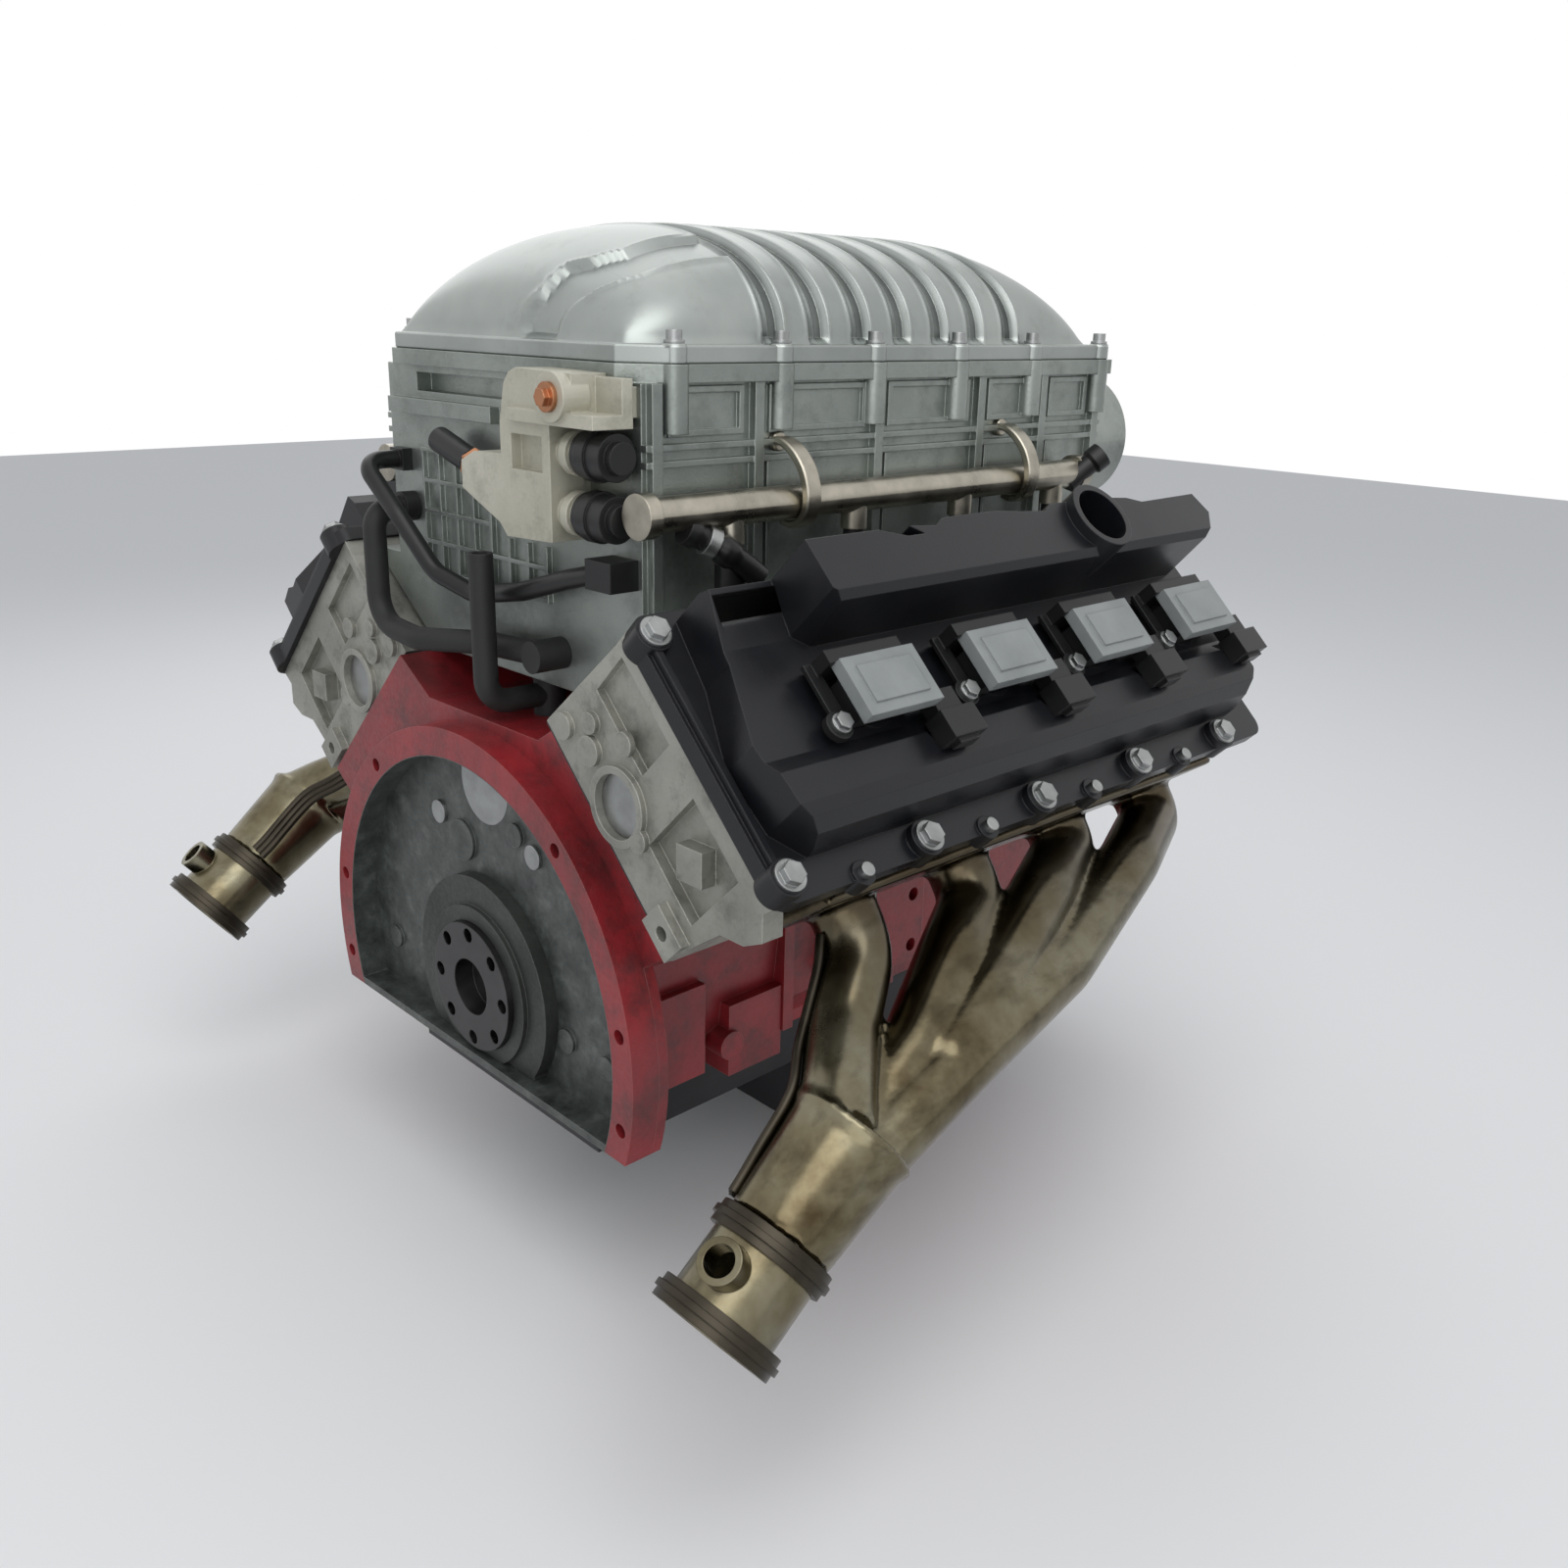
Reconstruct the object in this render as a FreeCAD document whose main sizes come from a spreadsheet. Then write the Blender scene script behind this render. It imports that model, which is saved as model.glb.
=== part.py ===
import FreeCAD, Part
import math
import os
import Sketcher
from FreeCAD import Placement, Rotation, Vector

# Supercharged ninety-degree pushrod V8 engine, in millimetres.
# Origin: crankshaft axis at the bellhousing face. +Y is the front of the engine, +X the right bank,
# +Z up. A bank's own frame stands its bore axis along local Z and its outboard side along local X,
# and leans forty-five degrees about Y.

SIZES = {
    # running gear
    "bore_diameter": 103.9,
    "bore_spacing": 113.2,
    "stroke": 90.9,
    "deck_clearance": 0.25,
    "compression_height": 36.2,
    "piston_length": 60.0,
    "piston_clearance": 0.05,
    "main_radius": 32.5,
    "main_length": 26.0,
    "pin_radius": 27.0,
    "pin_length": 48.0,
    "counterweight_radius": 78.0,
    "shaft_clearance": 0.05,
    "shell_thickness": 2.5,
    "snout_radius": 20.0,
    "crank_flange_radius": 50.0,
    "flexplate_bolt_circle": 84.0,
    "flexplate_bolt_radius": 5.5,
    "pilot_radius": 22.0,
    # block
    "deck_height": 240.0,
    "bank_offset": 24.0,
    "rear_bore_place": 105.0,
    "block_length": 540.0,
    "bulkhead_thickness": 24.0,
    "crankcase_radius": 88.0,
    "cap_half_width": 55.0,
    "cap_height": 50.0,
    "skirt_depth": 60.0,
    "pan_rail_half_width": 118.0,
    "block_half_width": 158.0,
    "deck_half_width": 85.0,
    "valley_half_width": 70.0,
    "valley_height": 205.0,
    "bell_radius": 198.0,
    "bell_rim": 22.0,
    "bell_depth": 22.0,
    "bell_flange": 30.0,
    "bell_floor": 6.0,
    "bell_bolt_radius": 5.25,
    "bell_bolt_side": 184.0,
    "bell_bolt_level": 35.0,
    "bell_top_bolt_side": 118.0,
    "bell_top_bolt_level": 145.0,
    "cam_height": 155.0,
    "cam_tunnel_radius": 30.0,
    "cam_core_radius": 19.0,
    "cam_lobe_radius": 19.0,
    "cam_lift": 7.0,
    "foot_bolt_radius": 5.5,
    "foot_length": 90.0,
    "foot_height": 70.0,
    "foot_bolt_spacing": 64.0,
    "foot_bolt_rise": 44.0,
    "foot_place": 270.0,
    # oil pan
    "pan_gasket": 1.5,
    "pan_wall": 3.0,
    "pan_depth": 140.0,
    "pan_shallow_depth": 36.0,
    "sump_start": 250.0,
    "sump_end": 500.0,
    # heads
    "gasket_thickness": 1.4,
    "head_rear": 3.0,
    "head_length": 512.0,
    "head_height": 110.6,
    "head_inner": 86.0,
    "head_outer": 90.0,
    "head_top_outer": 108.0,
    "exhaust_face_foot": 12.0,
    "plug_row": 20.0,
    "plug_well_radius": 13.0,
    "plug_thread_radius": 7.0,
    "plug_seat_depth": 78.0,
    "port_rise": 48.0,
    "core_plug_radius": 21.0,
    # valve covers
    "cover_rail": 12.0,
    "cover_wall": 4.0,
    "cover_inner": 80.0,
    "cover_outer": 112.0,
    "cover_overhang": 5.0,
    "cover_hump_edge": 84.0,
    "cover_hump_height": 48.0,
    "cover_valley_height": 40.0,
    "ridge_height": 89.0,
    "ridge_inner": 68.0,
    "ridge_outer": 32.0,
    "ridge_rear": 78.0,
    "filler_radius": 21.0,
    "filler_wall": 5.0,
    "filler_place": 352.0,
    "filler_row": 52.0,
    "filler_rise": 8.0,
    "filler_depth": 38.0,
    "hump_inset": 22.0,
    "cover_bolt_radius": 10.0,
    # coils
    "coil_top": 69.0,
    "coil_width": 62.0,
    "coil_depth": 39.0,
    "coil_plate": 9.0,
    "boot_radius": 10.0,
    # exhaust manifolds
    "primary_radius": 22.5,
    "collector_radius": 38.0,
    "outlet_radius": 33.0,
    "outlet_bore_radius": 30.5,
    "outlet_length": 64.0,
    "manifold_flange": 9.0,
    "band_width": 14.0,
    "sensor_boss_radius": 13.0,
    # supercharger
    "housing_half_width": 150.0,
    "housing_rear": 50.0,
    "housing_ends": 65.0,
    "housing_seat_rise": 7.258,
    "housing_height": 140.0,
    "flange_thickness": 11.0,
    "dome_height": 78.0,
    "dome_half_width": 143.0,
    "groove_width": 19.0,
    "groove_depth": 5.0,
    "groove_pitch": 41.3,
    "groove_start": 155.0,
    "rotor_rise": 42.0,
    "rotor_offset": 37.5,
    "rotor_tip_radius": 44.0,
    "rotor_core_radius": 27.0,
    "rotor_bore_clearance": 0.3,
    "rotor_rear": 80.0,
    "rotor_length": 410.0,
    "rotor_shaft_radius": 12.0,
    "snout_length": 62.0,
    "cooler_width": 40.0,
    # fuel system
    "rail_radius": 11.0,
    "rail_standoff": 20.0,
    "rail_rise": 65.0,
    "rail_rear": 30.0,
    "rail_length": 450.0,
    # hoses and wiring
    "hose_radius": 8.5,
    "loom_radius": 6.5,
    # front end
    "timing_cover_depth": 42.0,
    "chain_plane": 550.0,
    "chain_width": 10.0,
    "chain_thickness": 6.0,
    "crank_sprocket_radius": 29.0,
    "belt_standoff": 95.0,
    "belt_width": 26.0,
    "belt_thickness": 4.0,
    "damper_radius": 95.0,
    "blower_pulley_radius": 40.0,
    "pump_pulley_radius": 55.0,
    "pump_side": 75.0,
    "pump_height": 150.0,
    "pump_shaft_radius": 8.0,
    "tensioner_radius": 34.0,
    "tensioner_side": 118.0,
    "tensioner_height": 205.0,
    "tensioner_pin": 8.0,
    "throttle_bore_radius": 46.0,
    "throttle_wall": 8.0,
    "throttle_swell": 3.0,
    "throttle_lip": 26.0,
    "throttle_length": 78.0,
    "throttle_setback": 30.0,
    "throttle_side": 78.0,
    "throttle_rise": 82.0,
    "throttle_shaft_radius": 5.0,
    "air_gap": 0.3,
}

LEAN = 45.0
HALF_ROOT = math.sqrt(0.5)
BORES_PER_BANK = 4
THROW_ANGLES = (0.0, 90.0, 270.0, 180.0)
CRANK_REST_ANGLE = 20.0
MALE_LOBES = 3
FEMALE_LOBES = 5
UP = (0, 0, 1)
FORWARD = (0, 1, 0)


class Size:
    """A length that is both an expression for the document and a number for Part's functions."""

    def __init__(self, text, value):
        self.text = text
        self.value = float(value)

    def __float__(self):
        return self.value

    def __neg__(self):
        return Size("-(%s)" % self.text, -self.value)

    def __add__(self, other):
        return Size("(%s + %s)" % (self.text, words(other)), self.value + float(other))

    def __radd__(self, other):
        return self + other

    def __sub__(self, other):
        return Size("(%s - %s)" % (self.text, words(other)), self.value - float(other))

    def __rsub__(self, other):
        return -self + other

    def __mul__(self, other):
        return Size("(%s * %s)" % (self.text, words(other)), self.value * float(other))

    def __rmul__(self, other):
        return self * other

    def __truediv__(self, other):
        return Size("(%s / %s)" % (self.text, words(other)), self.value / float(other))


def words(value):
    """The text of a size or a plain number inside an expression."""
    if isinstance(value, Size):
        return value.text
    return "(%.9g)" % value


class Dimensions:
    """Every driving dimension, by its alias in the spreadsheet."""

    def __getattr__(self, alias):
        return Size("Sizes." + alias, SIZES[alias])


doc = FreeCAD.newDocument("v8_engine")
dim = Dimensions()
sheet = doc.addObject("Spreadsheet::Sheet", "Sizes")
for row, (alias, value) in enumerate(SIZES.items(), start=1):
    sheet.set("A%d" % row, alias.replace("_", " "))
    sheet.set("B%d" % row, str(value))
    sheet.setAlias("B%d" % row, alias)
doc.recompute()

subparts = []


def subpart(label, thing):
    """Name a finished piece; the label is its node and its file."""
    thing.Label = label
    subparts.append(thing)
    return thing


# ---- document helpers -------------------------------------------------------------------------


def bind(thing, path, size):
    """Tie a property to the spreadsheet when its size comes from there."""
    if isinstance(size, Size):
        thing.setExpression(path, size.text)


def put(thing, at=(0, 0, 0), turn=None):
    """Place an object, each coordinate bound to its size."""
    thing.Placement = Placement(Vector(*[float(value) for value in at]), turn or Rotation())
    for letter, size in zip("xyz", at):
        bind(thing, "Placement.Base." + letter, size)
    return thing


def toward(axis):
    """The rotation that turns local Z to an axis."""
    return Rotation(Vector(0, 0, 1), Vector(*[float(value) for value in axis]))


def box(low, high):
    """A box between its lowest and highest corners."""
    thing = doc.addObject("Part::Box", "Box")
    for name, start, end in zip(("Length", "Width", "Height"), low, high):
        setattr(thing, name, float(end - start))
        bind(thing, name, end - start)
    return put(thing, low)


def cylinder(radius, start, length, axis=UP):
    """A cylinder from a start point along an axis."""
    thing = doc.addObject("Part::Cylinder", "Cylinder")
    thing.Radius = float(radius)
    thing.Height = float(length)
    bind(thing, "Radius", radius)
    bind(thing, "Height", length)
    return put(thing, start, toward(axis))


def cone(first, last, start, length, axis=UP):
    """A cone from its first radius to its last along an axis."""
    thing = doc.addObject("Part::Cone", "Cone")
    thing.Radius1 = float(first)
    thing.Radius2 = float(last)
    thing.Height = float(length)
    bind(thing, "Radius1", first)
    bind(thing, "Radius2", last)
    bind(thing, "Height", length)
    return put(thing, start, toward(axis))


def hexagon(across, start, length, axis=UP):
    """A hexagonal prism, given its width across flats."""
    thing = doc.addObject("Part::Prism", "Hexagon")
    thing.Polygon = 6
    thing.Circumradius = float(across) / math.sqrt(3)
    thing.Height = float(length)
    bind(thing, "Height", length)
    return put(thing, start, toward(axis))


def join(*things):
    """One solid from several."""
    thing = doc.addObject("Part::MultiFuse", "Join")
    thing.Shapes = list(things)
    thing.Refine = True
    return thing


def cut(base, *tools):
    """A solid with tools taken away."""
    thing = doc.addObject("Part::Cut", "Cut")
    thing.Base = base
    thing.Tool = tools[0] if len(tools) == 1 else join(*tools)
    thing.Refine = True
    return thing


def overlap(*things):
    """The space that all the solids share."""
    thing = doc.addObject("Part::MultiCommon", "Overlap")
    thing.Shapes = list(things)
    thing.Refine = True
    return thing


def group(*things):
    """Several separate solids of one kind."""
    thing = doc.addObject("Part::Compound", "Group")
    thing.Links = list(things)
    return thing


def pipe(outer, inner, start, length, axis=UP):
    """A tube or ring."""
    return cut(cylinder(outer, start, length, axis), cylinder(inner, start, length, axis))


def outline(sketch, points):
    """Draw a closed outline, each corner fixed from the sketch's origin."""
    corners = [Vector(float(across), float(up), 0) for across, up in points]
    edges = [Part.LineSegment(corners[n], corners[(n + 1) % len(corners)]) for n in range(len(corners))]
    sketch.addGeometry(edges, False)
    for n in range(len(corners)):
        sketch.addConstraint(Sketcher.Constraint("Coincident", n, 2, (n + 1) % len(corners), 1))
    for n, corner in enumerate(points):
        for kind, place in zip(("DistanceX", "DistanceY"), corner):
            index = sketch.addConstraint(Sketcher.Constraint(kind, -1, 1, n, 1, float(place)))
            bind(sketch, "Constraints[%d]" % index, place)


def body_sketch(plane, points):
    """A new body with one sketch on an origin plane."""
    body = doc.addObject("PartDesign::Body", "Body")
    sketch = body.newObject("Sketcher::SketchObject", "Sketch")
    support = [item for item in body.Origin.OriginFeatures if item.Role == plane + "_Plane"][0]
    sketch.AttachmentSupport = [(support, "")]
    sketch.MapMode = "FlatFace"
    outline(sketch, points)
    return body, sketch


def prism(points, start, length, plane="XZ"):
    """Pad an outline from a level along the plane's axis: +Y for XZ, +Z for XY, +X for YZ."""
    body, sketch = body_sketch(plane, points)
    backward = plane == "XZ"
    offset = -start if backward else start
    sketch.AttachmentOffset = Placement(Vector(0, 0, float(offset)), Rotation())
    bind(sketch, "AttachmentOffset.Base.z", offset)
    pad = body.newObject("PartDesign::Pad", "Pad")
    pad.Profile = sketch
    pad.Reversed = backward
    pad.Length = float(length)
    bind(pad, "Length", length)
    return body


def turned(points):
    """Revolve an outline of (radius, place along Y) about the Y axis."""
    body, sketch = body_sketch("XY", points)
    spin = body.newObject("PartDesign::Revolution", "Revolution")
    spin.Profile = sketch
    spin.ReferenceAxis = (sketch, ["V_Axis"])
    spin.Angle = 360
    return body


def rounded(body, radius, chosen):
    """Fillet the edges of a body that the test picks."""
    doc.recompute()
    base = body.Tip
    names = ["Edge%d" % (n + 1) for n, edge in enumerate(base.Shape.Edges) if chosen(edge)]
    fillet = body.newObject("PartDesign::Fillet", "Fillet")
    fillet.Base = (base, names)
    fillet.Radius = float(radius)
    bind(fillet, "Radius", radius)
    return body


def mirrored(half):
    """A closed symmetric outline from its right half."""
    return half + [(-across, up) for across, up in reversed(half)]


def along(edge, axis):
    """True where a straight edge runs along an axis."""
    if edge.Curve.TypeId != "Part::GeomLine":
        return False
    return abs(edge.Curve.Direction.dot(Vector(*axis))) > 0.999


def sides(side, inner, outer):
    """The lower and higher of two distances taken to one side of the engine."""
    return sorted((side * inner, side * outer), key=float)


def feature(shape):
    """A document object for a shape made by Part's functions."""
    thing = doc.addObject("Part::Feature", "Shape")
    thing.Shape = shape
    return thing


def bolt(start, axis, head=16.0, height=8.0, washer=20.0):
    """A flanged hexagon bolt head standing on a face."""
    flange = cylinder(washer / 2, start, 2.5, axis)
    return join(flange, hexagon(head, start, height, axis))


# ---- banks ------------------------------------------------------------------------------------


class Bank:
    """One bank of cylinders: its side of the engine and how far forward it sits."""

    def __init__(self, name, side):
        self.name = name
        self.side = side
        self.shift = dim.bank_offset * 0.5 * (1 - side)

    def bores(self):
        """Places along Y of the bores, rear to front, in the bank's own frame."""
        return [dim.rear_bore_place + dim.bore_spacing * n for n in range(BORES_PER_BANK)]

    def lean(self, thing):
        """Stand a piece that was drawn upright on its bank."""
        if thing.TypeId in ("Part::Box", "Part::Cylinder"):
            thing = group(thing)
        return put(thing, (0, self.shift, 0), Rotation(Vector(0, 1, 0), self.side * LEAN))

    def outline(self, points):
        """Draw outboard to this bank's own side."""
        return [(self.side * across, up) for across, up in points]

    def box(self, low, high):
        """A box given outboard, along and up, on this bank's own side."""
        near, far = sides(self.side, low[0], high[0])
        return box((near, low[1], low[2]), (far, high[1], high[2]))

    def world(self, outboard, place, height):
        """A point of the bank in the engine's frame."""
        across = (height + outboard) * HALF_ROOT * self.side
        return (across, place + self.shift, (height - outboard) * HALF_ROOT)

    def direction(self, outboard, forward, up):
        """A direction of the bank in the engine's frame."""
        return ((up + outboard) * HALF_ROOT * self.side, forward, (up - outboard) * HALF_ROOT)


RIGHT = Bank("right", 1)
LEFT = Bank("left", -1)
BANKS = (RIGHT, LEFT)

throws = [dim.rear_bore_place + dim.bank_offset / 2 + dim.bore_spacing * n for n in range(BORES_PER_BANK)]
mains = [throws[0] + dim.bore_spacing * (n - 0.5) for n in range(BORES_PER_BANK + 1)]
rod_length = dim.deck_height - dim.stroke / 2 - dim.compression_height - dim.deck_clearance
head_floor = dim.deck_height + dim.gasket_thickness
head_top = head_floor + dim.head_height
rail_top = head_top + dim.cover_rail
housing_floor = (head_top + dim.head_inner - 24) * HALF_ROOT + dim.housing_seat_rise
housing_top = housing_floor + dim.housing_height
rotor_height = housing_floor + dim.rotor_rise
rail_height = housing_floor + dim.rail_rise
rail_side = dim.housing_half_width + dim.rail_standoff
throttle_height = housing_floor + dim.throttle_rise
lid_base = housing_top + dim.flange_thickness
lid_top = lid_base + dim.flange_thickness
housing_length = dim.rotor_length + dim.housing_ends
housing_front = dim.housing_rear + housing_length
belt_plane = housing_front + dim.belt_standoff
pan_top = -(dim.skirt_depth + dim.pan_gasket)
timing_front = dim.block_length + dim.timing_cover_depth


# ---- engine block -----------------------------------------------------------------------------


def engine_block():
    """Cast block: skirted crankcase, two decks, valley, bell flange, bulkheads and feet."""
    deck_outer = ((dim.deck_height + dim.deck_half_width) * HALF_ROOT,
                  (dim.deck_height - dim.deck_half_width) * HALF_ROOT)
    deck_inner = (deck_outer[1], deck_outer[0])
    half = [
        (dim.pan_rail_half_width, -dim.skirt_depth),
        (dim.pan_rail_half_width, 10 - dim.skirt_depth),
        (dim.block_half_width - 8, -14),
        (dim.block_half_width, 60),
        deck_outer,
        deck_inner,
        (dim.valley_half_width, dim.valley_height),
    ]
    casting = prism(mirrored(half), dim.bell_depth, dim.block_length - dim.bell_depth)
    rear_wall = bell_disc(dim.bell_radius, dim.bell_depth, dim.bell_flange - dim.bell_depth, -dim.skirt_depth)
    feet = [foot(side) for side in (1, -1)]
    whole = join(casting, rear_wall, *feet, *side_ribs(), *side_pads(), *wall_bosses())
    hollows = [crank_tunnel(), lower_opening()]
    hollows += bays()
    hollows += bores()
    hollows.append(cylinder(dim.cam_tunnel_radius, (0, 0, dim.cam_height), dim.block_length, FORWARD))
    return subpart("engine_block", cut(whole, *hollows, *bell_holes(), *foot_holes()))


def bell_disc(radius, start, length, floor):
    """A disc about the crank axis with its underside cut off flat."""
    return overlap(cylinder(radius, (0, start, 0), length, FORWARD),
                   box((-radius, start, floor), (radius, start + length, radius)))


def bell_flange():
    """The block's bellhousing flange: an arched rim behind the rear wall, bored for the housing's bolts."""
    rim = bell_disc(dim.bell_radius, 0, dim.bell_depth, -dim.skirt_depth)
    recess = bell_disc(dim.bell_radius - dim.bell_rim, 0, dim.bell_depth, dim.bell_floor - dim.skirt_depth)
    return subpart("bell_flange", cut(rim, recess, *bell_holes()))


def foot(side):
    """Machined pad on the side of the crankcase for the engine mount."""
    inner = dim.block_half_width - 20
    outer = dim.block_half_width + 14
    near, far = sides(side, inner, outer)
    return box((near, dim.foot_place - dim.foot_length / 2, -10),
               (far, dim.foot_place + dim.foot_length / 2, dim.foot_height - 10))


def foot_holes():
    """Four blind bolt holes in each pad."""
    holes = []
    middle = dim.foot_height / 2 - 10
    for side in (1, -1):
        for step in (-0.5, 0.5):
            for rise in (-0.5, 0.5):
                start = (side * (dim.block_half_width + 14), dim.foot_place + dim.foot_bolt_spacing * step,
                         middle + dim.foot_bolt_rise * rise)
                holes.append(cylinder(dim.foot_bolt_radius, start, 24, (-side, 0, 0)))
    return holes


def side_ribs():
    """Upright stiffening ribs on both sides of the crankcase, one at each main bulkhead."""
    ribs = []
    for side in (1, -1):
        for place in mains[1:4]:
            near, far = sides(side, dim.block_half_width - 24, dim.block_half_width + 6)
            ribs.append(box((near, place - 5, -30), (far, place + 5, 70)))
    return ribs


def side_pads():
    """Raised machined pads on both sides of the crankcase, behind the mount's pad."""
    pads = []
    for side in (1, -1):
        near, far = sides(side, dim.block_half_width - 22, dim.block_half_width + 4)
        pads.append(box((near, 51, -37), (far, 93, 34)))
        pads.append(box((near, 116, -49), (far, 168, 8)))
        pads.append(cylinder(11, (side * (dim.block_half_width - 10), 116, -22), 18, (side, 0, 0)))
    return pads


def wall_bosses():
    """Low bolt bosses on the rear wall inside the bell."""
    spots = ((-31, 104, 16), (96, -12, 9), (143, -14, 9), (-96, -12, 9), (-143, -14, 9), (40, 128, 9))
    return [cylinder(radius, (across, dim.bell_depth - 3, up), 3, FORWARD) for across, up, radius in spots]


def crank_tunnel():
    """Line bore for the main bearing shells."""
    radius = dim.main_radius + dim.shaft_clearance + dim.shell_thickness
    return cylinder(radius, (0, 0, 0), dim.block_length, FORWARD)


def lower_opening():
    """The open underside of the bulkheads, where the bearing caps sit."""
    return box((-dim.cap_half_width, dim.bell_depth, -dim.skirt_depth),
               (dim.cap_half_width, dim.block_length, 0))


def bays():
    """Crank bays between the bulkheads, open to the oil pan."""
    spaces = []
    for rear, front in zip(mains, mains[1:]):
        start = rear + dim.bulkhead_thickness / 2
        length = front - rear - dim.bulkhead_thickness
        spaces.append(cylinder(dim.crankcase_radius, (0, start, 0), length, FORWARD))
        spaces.append(box((-dim.crankcase_radius, start, -dim.skirt_depth),
                          (dim.crankcase_radius, start + length, 0)))
    return spaces


def bores():
    """Eight cylinder bores from the decks down into the crank bays."""
    holes = []
    for bank in BANKS:
        bottom = dim.crankcase_radius * 0.7
        for place in bank.bores():
            start = bank.world(0, place, bottom)
            axis = bank.direction(0, 0, 1)
            holes.append(cylinder(dim.bore_diameter / 2, start, dim.deck_height - bottom + 20, axis))
    return holes


def bell_holes():
    """Bolt holes through the rim: four in a rectangle low down and two near the top."""
    spots = [(side * dim.bell_bolt_side, level * dim.bell_bolt_level)
             for side in (1, -1) for level in (1, -1)]
    spots += [(side * dim.bell_top_bolt_side, dim.bell_top_bolt_level) for side in (1, -1)]
    return [cylinder(dim.bell_bolt_radius, (across, 0, up), dim.bell_flange, FORWARD) for across, up in spots]


def main_caps():
    """Five main bearing caps under the bulkheads."""
    caps = []
    bore = dim.main_radius + dim.shaft_clearance + dim.shell_thickness
    for place in mains:
        rear = place - dim.bulkhead_thickness / 2
        half = [
            (dim.cap_half_width, 0),
            (dim.cap_half_width, -dim.cap_height * 0.45),
            (dim.cap_half_width * 0.75, -dim.cap_height),
        ]
        body = prism(mirrored(half), rear, dim.bulkhead_thickness)
        caps.append(cut(body, cylinder(bore, (0, rear, 0), dim.bulkhead_thickness, FORWARD)))
    return subpart("main_bearing_caps", group(*caps))


def main_shells():
    """Five main bearing shells."""
    inner = dim.main_radius + dim.shaft_clearance
    shells = [pipe(inner + dim.shell_thickness, inner, (0, place - dim.bulkhead_thickness / 2, 0),
                   dim.bulkhead_thickness, FORWARD) for place in mains]
    return subpart("main_bearings", group(*shells))


def seal_retainer():
    """Rear plate that closes the crankcase around the crankshaft's seal journal."""
    thickness = dim.bell_depth / 2
    start = dim.bell_depth - thickness
    reach = dim.crank_flange_radius + 34
    floor = dim.bell_floor + dim.air_gap - dim.skirt_depth
    half = dim.cap_half_width + 12
    disc = overlap(cylinder(reach, (0, start, 0), thickness, FORWARD),
                   box((-reach, start, floor), (reach, dim.bell_depth, reach)))
    foot_plate = box((-half, start, floor), (half, dim.bell_depth, 0))
    lip = cylinder(dim.crank_flange_radius + 12, (0, start - 4, 0), 4, FORWARD)
    hole = cylinder(dim.crank_flange_radius + dim.air_gap, (0, 0, 0), dim.bell_depth, FORWARD)
    below = box((-reach, 0, -reach), (reach, dim.bell_depth, floor))
    return subpart("rear_seal_retainer", cut(join(disc, foot_plate, lip), hole, below))


def core_plugs():
    """Cam tunnel plug and gallery plugs in the rear wall, and the heads' rear core plugs."""
    plugs = [cylinder(dim.cam_tunnel_radius, (0, dim.bell_depth, dim.cam_height), 6, FORWARD)]
    for bank in BANKS:
        start = bank.world(-6, dim.head_rear + 2, head_floor + 27)
        plugs.append(cylinder(dim.core_plug_radius - dim.air_gap, start, 3, FORWARD))
        plugs.append(cylinder(9, (bank.side * 62, dim.bell_depth - 3, 118), 3, FORWARD))
    return subpart("core_plugs", group(*plugs))


# ---- crankshaft, camshaft, pistons ------------------------------------------------------------


def web_outline():
    """Crank web: round top over the pin and a fan-shaped counterweight."""
    pin_top = dim.stroke / 2 + dim.pin_radius + 1.5
    right = [(dim.pin_radius * 0.7, pin_top), (dim.pin_radius + 8, dim.stroke / 2),
             (dim.main_radius + 10, -4)]
    fan = []
    for angle in (-12, -32, -52, -72):
        turn = math.radians(angle)
        fan.append((dim.counterweight_radius * math.cos(turn), dim.counterweight_radius * math.sin(turn)))
    return mirrored(right + fan)


def crankshaft():
    """Cross-plane crankshaft with four throws, seal journal, drive flange and front snout."""
    pieces = []
    web = (dim.bore_spacing - dim.pin_length - dim.main_length) / 2
    for place, angle in zip(throws, THROW_ANGLES):
        turn = math.radians(angle + CRANK_REST_ANGLE)
        centre = (dim.stroke / 2 * math.sin(turn), dim.stroke / 2 * math.cos(turn))
        start = place - dim.pin_length / 2 - web
        pieces.append(cylinder(dim.pin_radius, (centre[0], start, centre[1]), dim.pin_length + web * 2,
                               FORWARD))
        for rear in (start, place + dim.pin_length / 2):
            side = prism(web_outline(), rear, web)
            side.Placement = Placement(Vector(), Rotation(Vector(0, 1, 0), angle + CRANK_REST_ANGLE))
            pieces.append(side)
    for place in mains:
        pieces.append(cylinder(dim.main_radius, (0, place - dim.main_length / 2, 0), dim.main_length,
                               FORWARD))
    rear_end = mains[0] - dim.main_length / 2
    seal_face = dim.bell_depth + 8
    pieces.append(cylinder(dim.main_radius, (0, seal_face, 0), rear_end - seal_face, FORWARD))
    pieces.append(cylinder(dim.crank_flange_radius, (0, 2, 0), dim.bell_depth - 2.5, FORWARD))
    pieces.append(cylinder(dim.main_radius, (0, dim.bell_depth - 1, 0), 10, FORWARD))
    front = mains[-1] + dim.main_length / 2
    pieces.append(cylinder(dim.snout_radius, (0, front, 0), belt_plane + 10 - front, FORWARD))
    holes = [cylinder(dim.pilot_radius, (0, 2, 0), 16, FORWARD)]
    for n in range(8):
        turn = math.radians(45 * n)
        start = (dim.flexplate_bolt_circle / 2 * math.cos(turn), 2,
                 dim.flexplate_bolt_circle / 2 * math.sin(turn))
        holes.append(cylinder(dim.flexplate_bolt_radius, start, 16, FORWARD))
    return subpart("crankshaft", cut(join(*pieces), *holes))


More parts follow.
